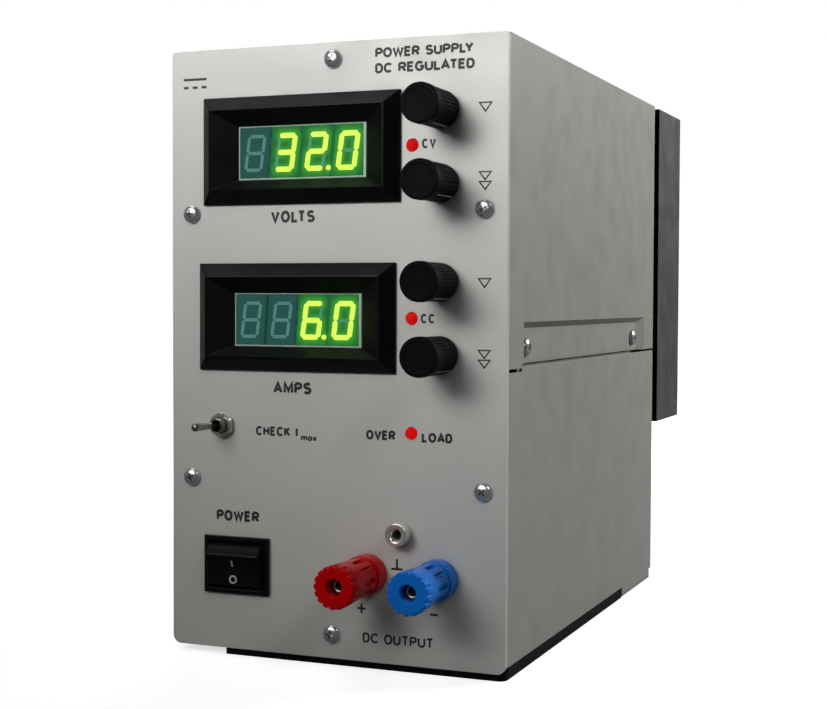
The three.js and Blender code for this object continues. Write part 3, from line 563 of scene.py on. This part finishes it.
def binding_post(color):
    """Collar, stud, washer and a fluted screw cap with a notched front rim."""
    plastic = MATERIAL[f"{color}_plastic"]
    x, z = axis_of(f"{color}_post_cap")
    low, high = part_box(f"{color}_post_cap")
    front, back = (FACE - low.y) / MM, (FACE - high.y) / MM
    rim = (high.x - low.x) / 2 / MM
    waist = rim - 0.8

    collar_low, collar_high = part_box(f"{color}_post_collar")
    collar = (collar_high.x - collar_low.x) / 2 / MM
    collar_front = (FACE - collar_low.y) / MM
    profile = [(3.4, -4), (5, -4), (5, 0.05), (collar, 0.05), (collar, collar_front)]
    profile += [(3.4, collar_front), (3.4, -4)]
    bm = turned(fillet(profile, 0.9, 5), x, z, 72)
    place(bm, f"{color}_post_sleeve", "case", plastic, [f"{color}_post_collar"])

    stud_front = (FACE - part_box(f"{color}_post_stud")[0].y) / MM
    profile = [(0, -20), (3, -20), (3, -8.5), (5.6, -8.5), (5.6, -4.4), (3, -4.4), (3, stud_front)]
    profile += [(BORE, stud_front), (BORE, 6), (0, 6)]
    bm = turned(fillet(profile, 0.35, 3), x, z, 64)
    place(bm, f"{color}_post_core", "case", MATERIAL["nickel"], [f"{color}_post_stud"])

    washer_low, washer_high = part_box(f"{color}_post_washer")
    near, far = (FACE - washer_high.y) / MM, (FACE - washer_low.y) / MM
    profile = [(3.3, near), (6.4, near), (6.4, far), (3.3, far), (3.3, near)]
    bm = turned(fillet(profile, 0.2, 2), x, z, 64)
    washer = f"{color}_post_washer"
    place(bm, f"{color}_post_ring", washer, MATERIAL["nickel"], [washer])

    flute_end = back + 13.5

    def ripple(r, out, angle):
        if r < waist - 1.2:
            return r
        along = smoothstep(back + 2.0, back + 2.9, out) * (1 - smoothstep(flute_end - 2.5, flute_end, out))
        across = smoothstep(0.0, 0.5, math.cos(POST_FLUTES * angle))
        at_rim = smoothstep(front - 5.5, front - 3.0, out)
        notch = smoothstep(0.0, 1.0, math.cos(POST_NOTCHES * angle))
        return r - 1.35 * along * across - 0.75 * at_rim * notch

    profile = [(3.5, back), (waist, back), (waist + 0.1, back + 10), (rim, front - 4), (rim, front)]
    profile += [(3.6, front), (3.5, back)]
    shape = densify(fillet(profile, 0.8, 4), 0.8)
    bm = turned(shape, x, z, 360, ripple)
    body = f"{color}_post_cap"
    place(bm, f"{color}_post_grip", body, plastic, [f"{color}_post_cap"], crease=50)


# ------------------------------------------------------------------ switches
def hexagonal(across_flats, chamfer_from, chamfer_to):
    """A ripple that turns a round profile into a six-sided one with turned-off corners."""
    apothem = across_flats / 2

    def ripple(r, out, angle):
        turn = (angle + math.pi / 6) % (math.pi / 3) - math.pi / 6
        flat = apothem / math.cos(turn)
        limit = apothem * 1.16 - max(0.0, out - chamfer_from) / max(chamfer_to - chamfer_from, 1e-6) * 0.8
        return min(flat, limit) if r > apothem * 0.9 else r

    return ripple


def rest_of(joint_name):
    """A swinging joint's pivot, and how far its rest leans from the middle of its range."""
    joint = next(j for j in frame["joints"] if j["name"] == joint_name)
    return Vector(joint["pos_m"]), math.radians(joint["range_deg"][1] / 2)


def toggle_switch():
    x, z = axis_of("toggle_nut")
    profile = [(3.45, 0.05), (6.1, 0.05), (6.1, 1.7), (6.1, 2.5), (3.45, 2.5), (3.45, 0.05)]
    bm = turned(fillet(profile, 0.15, 2), x, z, 180, hexagonal(10.6, 1.7, 2.5))
    place(bm, "toggle_hex_nut", "case", MATERIAL["nickel"], ["toggle_nut"], crease=25)

    # The bushing has a fine thread; the switch body behind the panel is a small block.
    def thread(r, out, angle):
        return r + (0.07 * math.cos(2 * math.pi * out / 0.6 - angle) - 0.05) * (r > 3.1)

    profile = [(0, -3), (2.35, -3), (2.35, 6.3), (3.2, 6.3), (3.2, -4.1), (0, -4.1)]
    bm = turned(densify(fillet(profile, 0.3, 3), 0.2), x, z, 64, thread)
    block = bmesh.new()
    bmesh.ops.create_cube(block, size=1.0)
    bmesh.ops.scale(block, verts=block.verts, vec=(13 * MM, 9.9 * MM, 8 * MM))
    bmesh.ops.bevel(block, geom=block.edges[:], offset=0.4 * MM, segments=2, affect="EDGES")
    bmesh.ops.translate(block, verts=block.verts, vec=(x, FACE + 9.1 * MM, z))
    place(bm, "toggle_bushing", "case", MATERIAL["dark_nickel"], ["toggle_switch_body"])
    place(block, "toggle_block", "case", MATERIAL["black_plastic"])

    # The lever: a ball in the bushing, a slim neck and a rounded end.
    pivot, lean = rest_of("toggle_swing")
    ball = [-math.pi / 3 + math.pi * i / 15 for i in range(11)]
    profile = [(0, -3.2), (0.8, -3.2), (0.8, -1.7)]
    profile += [(1.9 * math.cos(a), 1.9 * math.sin(a)) for a in ball]
    profile += [(1.25, 2.2), (1.82, 15.6), (1.88, 16.4), (1.7, 17.2), (1.2, 17.8), (0.5, 18.0), (0, 18.0)]
    bm = turned(profile, 0.0, 0.0, 48, face=0.0)
    turn = Matrix.Translation(pivot) @ Matrix.Rotation(-lean, 4, "Z")
    bmesh.ops.transform(bm, matrix=turn, verts=bm.verts)
    place(bm, "toggle_bat", "toggle_lever", MATERIAL["dark_nickel"], ["toggle_lever"])


def rocker_marks():
    """The line and circle on the two halves of the mains rocker."""
    low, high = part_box("power_rocker")
    pivot, lean = rest_of("power_tip")
    # The V's lowest line from the pivot, and the slope of its halves.
    valley, slope = 6.6 * MM, math.radians(11)
    rest = Matrix.Translation(((low.x + high.x) / 2, pivot.y, pivot.z)) @ Matrix.Rotation(lean, 4, "X")

    def on_face(bm, side, along):
        """Moves flat artwork drawn at the origin onto the upper or lower half of the V."""
        tilt = Matrix.Translation((0, -valley, 0)) @ Matrix.Rotation(side * slope, 4, "X")
        bmesh.ops.transform(bm, matrix=rest @ tilt @ Matrix.Translation((0, 0, along * MM)), verts=bm.verts)

    bar = bmesh.new()
    plate(bar, capsule((0, -1.2 * MM), (0, 1.2 * MM), 0.75 * MM), 0.02 * MM, -0.06 * MM)
    on_face(bar, 1, 2.8)
    place(bar, "rocker_mark_on", "power_rocker", WHITE_MARK)
    ring = turned([(1.2, 0.06), (1.95, 0.06), (1.95, -0.02), (1.2, -0.02), (1.2, 0.06)], 0, 0, 40, face=0.0)
    on_face(ring, -1, -4.7)
    place(ring, "rocker_mark_off", "power_rocker", WHITE_MARK)


# ------------------------------------------------------------------ meters
def meter_display(name, text):
    """The window: a painted-highlight rim, glass with a painted glow, four cells of unlit ghost segments and the
    lit digits.
    """
    low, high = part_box(f"{name}_window")
    middle = (low + high) / 2
    front = low.y
    cell = DIGIT["pitch"] * MM
    first = middle.x - 1.5 * cell + DIGIT["shift"] * MM
    digits = []
    for character in text:
        if character == ".":
            digits[-1] += "."
        else:
            digits.append(character)
    lit, faint, ghost = [], [], []
    for i, digit in enumerate(digits):
        split_digit(digit, first + i * cell, middle.z, lit, ghost if digit == " " else faint)

    panes = [(first + (i - 0.5) * cell, digit != " ") for i, digit in enumerate(digits)]
    place(glass(low, high, lit, panes), f"{name}_display_glass", "case", MATERIAL["meter_window"],
          [f"{name}_window"])
    # The faint and ghost segments are unlit; their glow is painted.
    for kind, segments, material, height in (
        ("lit", lit, LIT_SEGMENT, 0.12),
        ("faint", faint, FAINT_SEGMENT, 0.06),
        ("ghost", ghost, GHOST_SEGMENT, 0.06),
    ):
        bm = bmesh.new()
        for i, (start, end, width) in enumerate(segments):
            plate(bm, capsule(start, end, width * MM), front - 0.01 * MM, front - (height + 0.002 * i) * MM)
        place(bm, f"{name}_display_{kind}", "case", material)

    # Painted highlight: the rim is widest on the right and bottom, where light catches the window's edge.
    x0, x1, z0, z1 = low.x, high.x, low.z, high.z
    left, right, sill, lintel = 0.55 * MM, 1.2 * MM, 0.6 * MM, 0.35 * MM
    outer = rectangle(x0, x1, z0, z1)
    inner = rectangle(x0 + left, x1 - right, z0 + sill, z1 - lintel)
    rim = flat_ring(outer, inner, front - 0.02 * MM, front - 0.4 * MM)
    place(rim, f"{name}_display_edge_highlight", "case", WINDOW_EDGE_HIGHLIGHT)


def split_digit(digit, x, z, lit, unlit):
    """Adds seven slanted segments round the middle of a cell to the lit or the unlit list."""
    half_w, half_h = DIGIT["width"] / 2, DIGIT["height"] / 2
    shear = math.tan(DIGIT["slant"])

    def spot(point):
        return Vector(((point.x + point.y * shear) * MM + x, point.y * MM + z))

    for key, (a, b) in SEGMENTS.items():
        start, end = (Vector((p[0] * half_w, p[1] * half_h)) for p in (a, b))
        bright = key in DIGITS[digit[0]]
        trim = (end - start).normalized() * DIGIT["trim"]
        width = DIGIT["stroke"] if bright else DIGIT["ghost"]
        (lit if bright else unlit).append((spot(start + trim), spot(end - trim), width))
    if digit.endswith("."):
        dot = spot(Vector((half_w + 2.9, -half_h + 0.1)))
        lit.append((dot - Vector((0.05 * MM, 0)), dot + Vector((0.05 * MM, 0)), DIGIT["stroke"]))


def distance_to_stroke(point, start, end):
    along = end - start
    t = max(0.0, min(1.0, (point - start).dot(along) / along.length_squared))
    return (point - start - along * t).length


def glass(low, high, lit, panes):
    """The window as a slab whose front carries a glow value for its painted glow.

    The value is 0 on the lines between cells, UNLIT_GLOW in a dark cell, and up to 1 beside the lit
    segments. Each pane is the left edge of a cell and whether it is lit.
    """
    columns, rows = 120, 36
    line_width, fade = 0.55 * MM, 2.6 * MM
    bm = bmesh.new()
    glow = bm.verts.layers.float.new("glow")
    grid = []
    for j in range(rows + 1):
        for i in range(columns + 1):
            at = Vector((low.x + (high.x - low.x) * i / columns, low.z + (high.z - low.z) * j / rows))
            lean = (at.y - (low.z + high.z) / 2) * math.tan(DIGIT["slant"]) / 2
            across = at.x - lean
            is_lit = [state for edge, state in panes if across > edge or edge == panes[0][0]][-1]
            near = min(distance_to_stroke(at, a, b) for a, b, _ in lit)
            # Painted glow: a halo round the lit segments in a lit cell, a dim teal in an unlit one.
            value = DIM_GLOW + (1 - DIM_GLOW) * math.exp(-((near / fade) ** 2)) if is_lit else UNLIT_GLOW
            joint = min(abs(across - edge) for edge, _ in panes[1:])
            v = bm.verts.new((at.x, low.y, at.y))
            v[glow] = value * (1 - (0.3 if is_lit else 0.9) * math.exp(-((joint / line_width) ** 2)))
            grid.append(v)
    span = columns + 1
    for j in range(rows):
        for i in range(columns):
            k = j * span + i
            bm.faces.new((grid[k], grid[k + 1], grid[k + span + 1], grid[k + span]))
    walls = bmesh.ops.extrude_edge_only(bm, edges=[e for e in bm.edges if e.is_boundary])
    back = [v for v in walls["geom"] if isinstance(v, bmesh.types.BMVert)]
    for v in back:
        v.co.y = high.y
    bmesh.ops.contextual_create(bm, geom=[e for e in bm.edges if e.is_boundary])
    return bm


# ------------------------------------------------------------------ screws
def screw_mesh():
    """A pan-head screw pointing along -Y with a cross recess, seat at the origin."""
    shank, length, radius, rim = SCREW["shank"], SCREW["length"], SCREW["head"], SCREW["rim"]
    profile = [(0, -length), (shank - 0.4, -length), (shank, 0.6 - length), (shank, 0)]
    profile += [(radius, 0), (radius, rim), *dome(radius, rim, SCREW["crown"], 8)]
    bm = turned(profile, 0, 0, 48, face=0.0)
    head = bpy.data.meshes.new("screw_head")
    bm.to_mesh(head)
    bm.free()
    cutter = bmesh.new()
    for turn in (0, math.pi / 2):
        made = bmesh.ops.create_cube(cutter, size=1.0)["verts"]
        arm = (RECESS["arm"] * MM, RECESS["depth"] * MM, RECESS["width"] * MM)
        bmesh.ops.scale(cutter, verts=made, vec=arm)
        for v in made:
            if v.co.y > 0:
                v.co.x *= 0.35
                v.co.z *= 0.6
        bmesh.ops.translate(cutter, verts=made, vec=(0, -RECESS["sunk"] * MM, 0))
        bmesh.ops.rotate(cutter, verts=made, cent=(0, 0, 0), matrix=Matrix.Rotation(turn, 3, "Y"))
    tool = bpy.data.meshes.new("screw_cutter")
    cutter.to_mesh(tool)
    cutter.free()
    body = bpy.data.objects.new("screw_master", head)
    knife = bpy.data.objects.new("screw_knife", tool)
    for o in (body, knife):
        bpy.context.scene.collection.objects.link(o)
    boolean = body.modifiers.new("recess", "BOOLEAN")
    boolean.object = knife
    boolean.solver = "EXACT"
    boolean.use_self = True
    bpy.context.view_layer.update()
    shape = bpy.data.meshes.new_from_object(body.evaluated_get(bpy.context.evaluated_depsgraph_get()))
    for o in (body, knife):
        bpy.data.objects.remove(o)
    return shape


def screws():
    shape = screw_mesh()
    height = (SCREW["rim"] + SCREW["crown"]) * MM
    names = [n for n in frame["nodes"] if n.startswith(("panel_screw", "cover_screw"))]
    for i, name in enumerate(sorted(names)):
        low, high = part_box(name)
        middle = (low + high) / 2
        bm = bmesh.new()
        bm.from_mesh(shape)
        twist = Matrix.Rotation(0.5 + 1.1 * i, 4, "Y")
        if name.startswith("panel"):
            seat = Matrix.Translation((middle.x, low.y + height, middle.z))
        else:
            side = 1 if middle.x > 0 else -1
            tip = high.x if side > 0 else low.x
            seat = Matrix.Translation((tip - side * height, middle.y, middle.z))
            seat = seat @ Matrix.Rotation(side * math.pi / 2, 4, "Z")
        bmesh.ops.transform(bm, matrix=seat @ twist, verts=bm.verts)
        place(bm, f"{name}_pan", "case", MATERIAL["zinc"], [name], crease=30)


# ------------------------------------------------------------------ printed legends
def arc(x, z, radius_x, radius_z, start, end, steps=12):
    """Points along part of an ellipse, between two angles in degrees."""
    angles = [math.radians(start + (end - start) * i / steps) for i in range(steps + 1)]
    return [(x + radius_x * math.cos(a), z + radius_z * math.sin(a)) for a in angles]


def bowl(z, radius):
    """The round side of a D or a P, from its top to its bottom."""
    return [(0, z + radius), *arc(0.6 - 0.28, z, 0.28, radius, 90, -90), (0, z - radius)]


# Capitals one unit high and the three small letters of "max": width, then strokes as (x, z) points.
GLYPHS = {
    "A": (0.74, [(0, 0), (0.37, 1), (0.74, 0)], [(0.14, 0.32), (0.6, 0.32)]),
    "C": (0.68, arc(0.37, 0.5, 0.37, 0.5, 42, 318, 20)),
    "D": (0.6, [(0, 0), (0, 1)], bowl(0.5, 0.5)),
    "E": (0.52, [(0.52, 1), (0, 1), (0, 0), (0.52, 0)], [(0, 0.53), (0.46, 0.53)]),
    "G": (0.72, arc(0.37, 0.5, 0.37, 0.5, 42, 340, 20) + [(0.72, 0.46), (0.42, 0.46)]),
    "H": (0.64, [(0, 0), (0, 1)], [(0.64, 0), (0.64, 1)], [(0, 0.53), (0.64, 0.53)]),
    "I": (0.0, [(0, 0), (0, 1)]),
    "K": (0.62, [(0, 0), (0, 1)], [(0.58, 1), (0, 0.36)], [(0.2, 0.58), (0.62, 0)]),
    "L": (0.5, [(0, 1), (0, 0), (0.5, 0)]),
    "M": (0.78, [(0, 0), (0, 1), (0.39, 0.2), (0.78, 1), (0.78, 0)]),
    "O": (0.74, arc(0.37, 0.5, 0.37, 0.5, 90, 450, 28)),
    "P": (0.6, [(0, 0), (0, 1)], bowl(0.74, 0.26)),
    "R": (0.62, [(0, 0), (0, 1)], bowl(0.74, 0.26), [(0.3, 0.48), (0.62, 0)]),
    "S": (0.6, arc(0.3, 0.76, 0.28, 0.24, 25, 270, 12) + arc(0.3, 0.26, 0.3, 0.26, 90, -155, 12)[1:]),
    "T": (0.6, [(0, 1), (0.6, 1)], [(0.3, 1), (0.3, 0)]),
    "U": (0.64, [(0, 1), *arc(0.32, 0.32, 0.32, 0.32, 180, 360, 12), (0.64, 1)]),
    "V": (0.7, [(0, 1), (0.35, 0), (0.7, 1)]),
    "W": (0.98, [(0, 1), (0.25, 0), (0.49, 0.9), (0.73, 0), (0.98, 1)]),
    "Y": (0.68, [(0, 1), (0.34, 0.46), (0.68, 1)], [(0.34, 0.46), (0.34, 0)]),
    "m": (0.9, [(0, 0), (0, 0.9)], [*arc(0.225, 0.66, 0.225, 0.24, 180, 0, 8), (0.45, 0)],
          [*arc(0.675, 0.66, 0.225, 0.24, 180, 0, 8), (0.9, 0)]),
    "a": (0.5, arc(0.25, 0.45, 0.25, 0.45, 0, 360, 16), [(0.5, 0.9), (0.5, 0)]),
    "x": (0.5, [(0, 0), (0.5, 0.9)], [(0, 0.9), (0.5, 0)]),
    " ": (0.25,),
}


# Letter pairs set closer or wider than the rest, in letter heights.
KERNING = {"LY": -0.24, "LT": -0.2, "LA": -0.1, "AT": -0.14, "AD": -0.04, "PO": -0.04, "TP": 0.02}


def sweep(bm, points, width, lift):
    """A flat stroke on the panel along (x, z) points in millimetres, with mitred corners."""
    path = [Vector(p) for p in points]
    closed = (path[0] - path[-1]).length < 1e-6
    if closed:
        path.pop()
    count = len(path)
    rows = []
    for i, point in enumerate(path):
        ahead = (path[(i + 1) % count] - point).normalized() if closed or i < count - 1 else None
        behind = (point - path[i - 1]).normalized() if closed or i > 0 else None
        ahead, behind = ahead or behind, behind or ahead
        side = Vector((-ahead.y - behind.y, ahead.x + behind.x)).normalized()
        reach = width / 2 / max(0.5, side.dot(Vector((-ahead.y, ahead.x))))
        row = []
        for across, up in ((-1, 0.02), (1, 0.02), (1, lift), (-1, lift)):
            at = point + side * across * reach
            row.append(bm.verts.new((at.x * MM, FACE - up * MM, at.y * MM)))
        rows.append(row)
    pairs = list(zip(rows, rows[1:])) + ([(rows[-1], rows[0])] if closed else [])
    for a, b in pairs:
        for k in range(4):
            bm.faces.new((a[k], a[(k + 1) % 4], b[(k + 1) % 4], b[k]))
    if not closed:
        bm.faces.new(rows[0][::-1])
        bm.faces.new(rows[-1])


def strokes(name, lines, width):
    """Line artwork printed on the panel."""
    bm = bmesh.new()
    for i, line in enumerate(lines):
        sweep(bm, line, width, 0.05 + 0.003 * i)
    place(bm, f"legend_{name}", "case", INK)


def legend(name, text, x, z, width, height, stroke, gap):
    """Lettering fitted to a box given by its lower left corner and size in millimetres."""
    gaps = [gap + KERNING.get(pair, 0.0) for pair in map("".join, zip(text, text[1:]))] + [0.0]
    total = sum(GLYPHS[c][0] for c in text) + sum(gaps)
    wide = (width - stroke) / total
    tall = height - stroke
    lines, pen = [], 0.0
    for c, space in zip(text, gaps):
        advance, *shapes = GLYPHS[c]
        for shape in shapes:
            lines.append([(x + stroke / 2 + (pen + u) * wide, z + stroke / 2 + w * tall) for u, w in shape])
        pen += advance + space
    strokes(name, lines, stroke)


def triangle(x, top, width, height):
    """The outline of a triangle that points down."""
    return [(x - width / 2, top), (x + width / 2, top), (x, top - height), (x - width / 2, top)]


# Printed words: text, left edge, bottom, width, height, stroke and letter gap.
WORDS = {
    "header": ("POWER SUPPLY", 19.9, 265.0, 45.0, 4.4, 1.1, 0.3),
    "header_kind": ("DC REGULATED", 19.9, 258.4, 45.5, 4.4, 1.1, 0.3),
    "volts": ("VOLTS", -30.3, 195.0, 21.6, 5.4, 1.3, 0.42),
    "amps": ("AMPS", -29.1, 119.2, 18.9, 5.4, 1.35, 0.38),
    "cv": ("CV", 41.7, 225.6, 6.4, 4.2, 0.95, 0.6),
    "cc": ("CC", 41.5, 151.1, 6.4, 4.2, 0.95, 0.6),
    "check": ("CHECK I", -37.8, 100.2, 20.9, 4.3, 1.05, 0.42),
    "check_max": ("max", -15.4, 98.6, 7.9, 2.4, 0.78, 0.34),
    "over": ("OVER", 16.1, 100.4, 13.9, 4.3, 1.1, 0.38),
    "load": ("LOAD", 42.1, 100.1, 14.1, 4.3, 1.1, 0.38),
    "power": ("POWER", -57.8, 60.9, 21.8, 5.0, 1.25, 0.4),
    "output": ("DC OUTPUT", 14.8, 11.4, 33.2, 4.5, 0.9, 0.3),
}


def legends():
    for name, row in WORDS.items():
        legend(name, *row)
    right = axis_of("volts_fine_knob")[0] / MM + 19.3
    single, double, pitch = (5.4, 3.7), (5.2, 3.3), 4.1
    strokes("fine_volts", [triangle(right, 243.9, *single)], 0.65)
    strokes("coarse_volts", [triangle(right, 215.0 - pitch * i, *double) for i in range(2)], 0.65)
    strokes("fine_amps", [triangle(right, 170.2, *single)], 0.65)
    strokes("coarse_amps", [triangle(right, 140.0 - pitch * i, *double) for i in range(2)], 0.65)
    x, z = axis_of("earth_socket")
    x, z = x / MM - 1.9, z / MM - 15.6
    strokes("earth", [[(x - 2.7, z), (x + 2.7, z)], [(x, z), (x, z + 4.4)]], 1.0)
    strokes("plus", [[(12.3, 26.3), (16.1, 26.3)], [(14.2, 24.2), (14.2, 28.4)]], 0.95)
    strokes("minus", [[(46.3, 26.2), (50.0, 26.2)]], 0.95)
    # A plain direct-current symbol: one long bar over three short ones.
    dashes = [[(-74.6 + 4.6 * i, 256.6), (-72.0 + 4.6 * i, 256.6)] for i in range(3)]
    strokes("direct_current", [[(-74.6, 260.2), (-62.8, 260.2)]] + dashes, 1.1)


# ------------------------------------------------------------------ rear fuse
def fuse():
    x, z = axis_of("fuse_holder")
    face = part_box("rear_panel")[1].y
    profile = [(0, -34), (5, -34), (6.4, -30), (6.4, 0.1), (9, 0.1), (9, 2.6), (5.4, 2.6)]
    profile += [(5.4, -26), (0, -26)]
    bm = turned(fillet(profile, 0.5, 3), x, z, 64, face=face, outward=1)
    place(bm, "fuse_holder_body", "case", MATERIAL["black_plastic"], ["fuse_holder"])

    def ripple(r, out, angle):
        return r + 0.16 * math.cos(28 * angle) * (r > 6.5 and 3.6 < out < 8.2)

    profile = [(0, -24), (4.9, -24), (4.9, 2.9), (7.0, 2.9), (7.0, 8), (6.4, 8.7)]
    profile += [(1.2, 8.7), (0.9, 7.9), (0, 7.9)]
    bm = turned(densify(fillet(profile, 0.4, 3), 0.8), x, z, 168, ripple, face, 1)
    place(bm, "fuse_cap_grip", "fuse_cap", MATERIAL["black_plastic"], ["fuse_cap"])


# ------------------------------------------------------------------ stage
def floor():
    """A pale floor that reads close to white to the camera and keeps its soft contact shadow."""
    bm = bmesh.new()
    bmesh.ops.create_grid(bm, x_segments=8, y_segments=8, size=6.0)
    mesh = bpy.data.meshes.new("floor")
    bm.to_mesh(mesh)
    bm.free()
    ground = bpy.data.objects.new("floor", mesh)
    bpy.context.scene.collection.objects.link(ground)
    n = Nodes("floor")
    seen = n.add("ShaderNodeLightPath").outputs["Is Camera Ray"]
    pale = n.mix(n.ramp(n.noise(3.0), 0.3, 0.7), (0.82, 0.82, 0.82, 1), (0.84, 0.84, 0.84, 1))
    n.put(n.shader.inputs["Base Color"], n.mix(seen, (0.12, 0.12, 0.12, 1), pale))
    n.shader.inputs["Roughness"].default_value = 0.9
    n.shader.inputs["Specular IOR Level"].default_value = 0.1
    away = n.add("ShaderNodeVectorMath", operation="LENGTH")
    n.put(away.inputs[0], n.place)
    n.shader.inputs["Emission Color"].default_value = (1, 1, 1, 1)
    lift = n.times(seen, n.ramp(away.outputs["Value"], 0.2, 0.9, 0.68, 1.0))
    n.put(n.shader.inputs["Emission Strength"], lift)
    mesh.materials.append(n.material)


def lamp_at(name, place_at, aim, size, power, spread):
    data = bpy.data.lights.new(name, "AREA")
    data.shape = "RECTANGLE"
    data.size, data.size_y = size
    data.energy = power
    data.spread = math.radians(spread)
    light = bpy.data.objects.new(name, data)
    light.location = place_at
    light.rotation_euler = (Vector(aim) - Vector(place_at)).to_track_quat("-Z", "Y").to_euler()
    light.visible_camera = False
    bpy.context.scene.collection.objects.link(light)


def studio():
    """Soft lamps, and a dim, slightly warm surround that the camera sees as plain white."""
    for name, row in LAMPS.items():
        lamp_at(name, *row)
    world = bpy.data.worlds.new("studio")
    bpy.context.scene.world = world
    world.use_nodes = True
    tree = world.node_tree
    background = tree.nodes["Background"]
    seen = tree.nodes.new("ShaderNodeLightPath").outputs["Is Camera Ray"]

    def unless_seen(value):
        """The value where the surround lights the object, and 1 where the camera sees it."""
        switch = tree.nodes.new("ShaderNodeMapRange")
        switch.inputs["To Min"].default_value = value
        tree.links.new(seen, switch.inputs["Value"])
        return switch.outputs[0]

    color = tree.nodes.new("ShaderNodeCombineColor")
    color.inputs["Red"].default_value = 1.0
    color.inputs["Green"].default_value = 1.0
    tree.links.new(unless_seen(SURROUND_BLUE), color.inputs["Blue"])
    tree.links.new(color.outputs[0], background.inputs["Color"])
    tree.links.new(unless_seen(SURROUND), background.inputs["Strength"])


def camera():
    data = bpy.data.cameras.new("camera")
    data.lens = LENS
    data.sensor_width = 36
    cam = bpy.data.objects.new("camera", data)
    azimuth, tilt = math.radians(CAMERA_AZIMUTH), math.radians(CAMERA_TILT)
    level = math.cos(tilt)
    ahead = Vector((-math.sin(azimuth) * level, math.cos(azimuth) * level, math.sin(tilt)))
    aim = ahead.to_track_quat("-Z", "Y")
    cam.rotation_euler = (aim.to_matrix() @ Matrix.Rotation(math.radians(CAMERA_ROLL), 3, "Z")).to_euler()
    cam.location = CAMERA_PLACE
    bpy.context.scene.collection.objects.link(cam)
    bpy.context.scene.camera = cam
    bpy.context.scene.view_settings.view_transform = "Standard"


dress_cad_nodes()
for knob_name, pointer in POINTER_AND_GLINT_ANGLES.items():
    knob(knob_name, pointer)
for lamp_name in ("cv_led", "cc_led", "overload_led"):
    lamp(lamp_name)
earth_socket()
for post in ("red", "blue"):
    binding_post(post)
toggle_switch()
rocker_marks()
for meter, reading in READINGS.items():
    meter_display(meter, reading)
screws()
legends()
fuse()
floor()
studio()
camera()
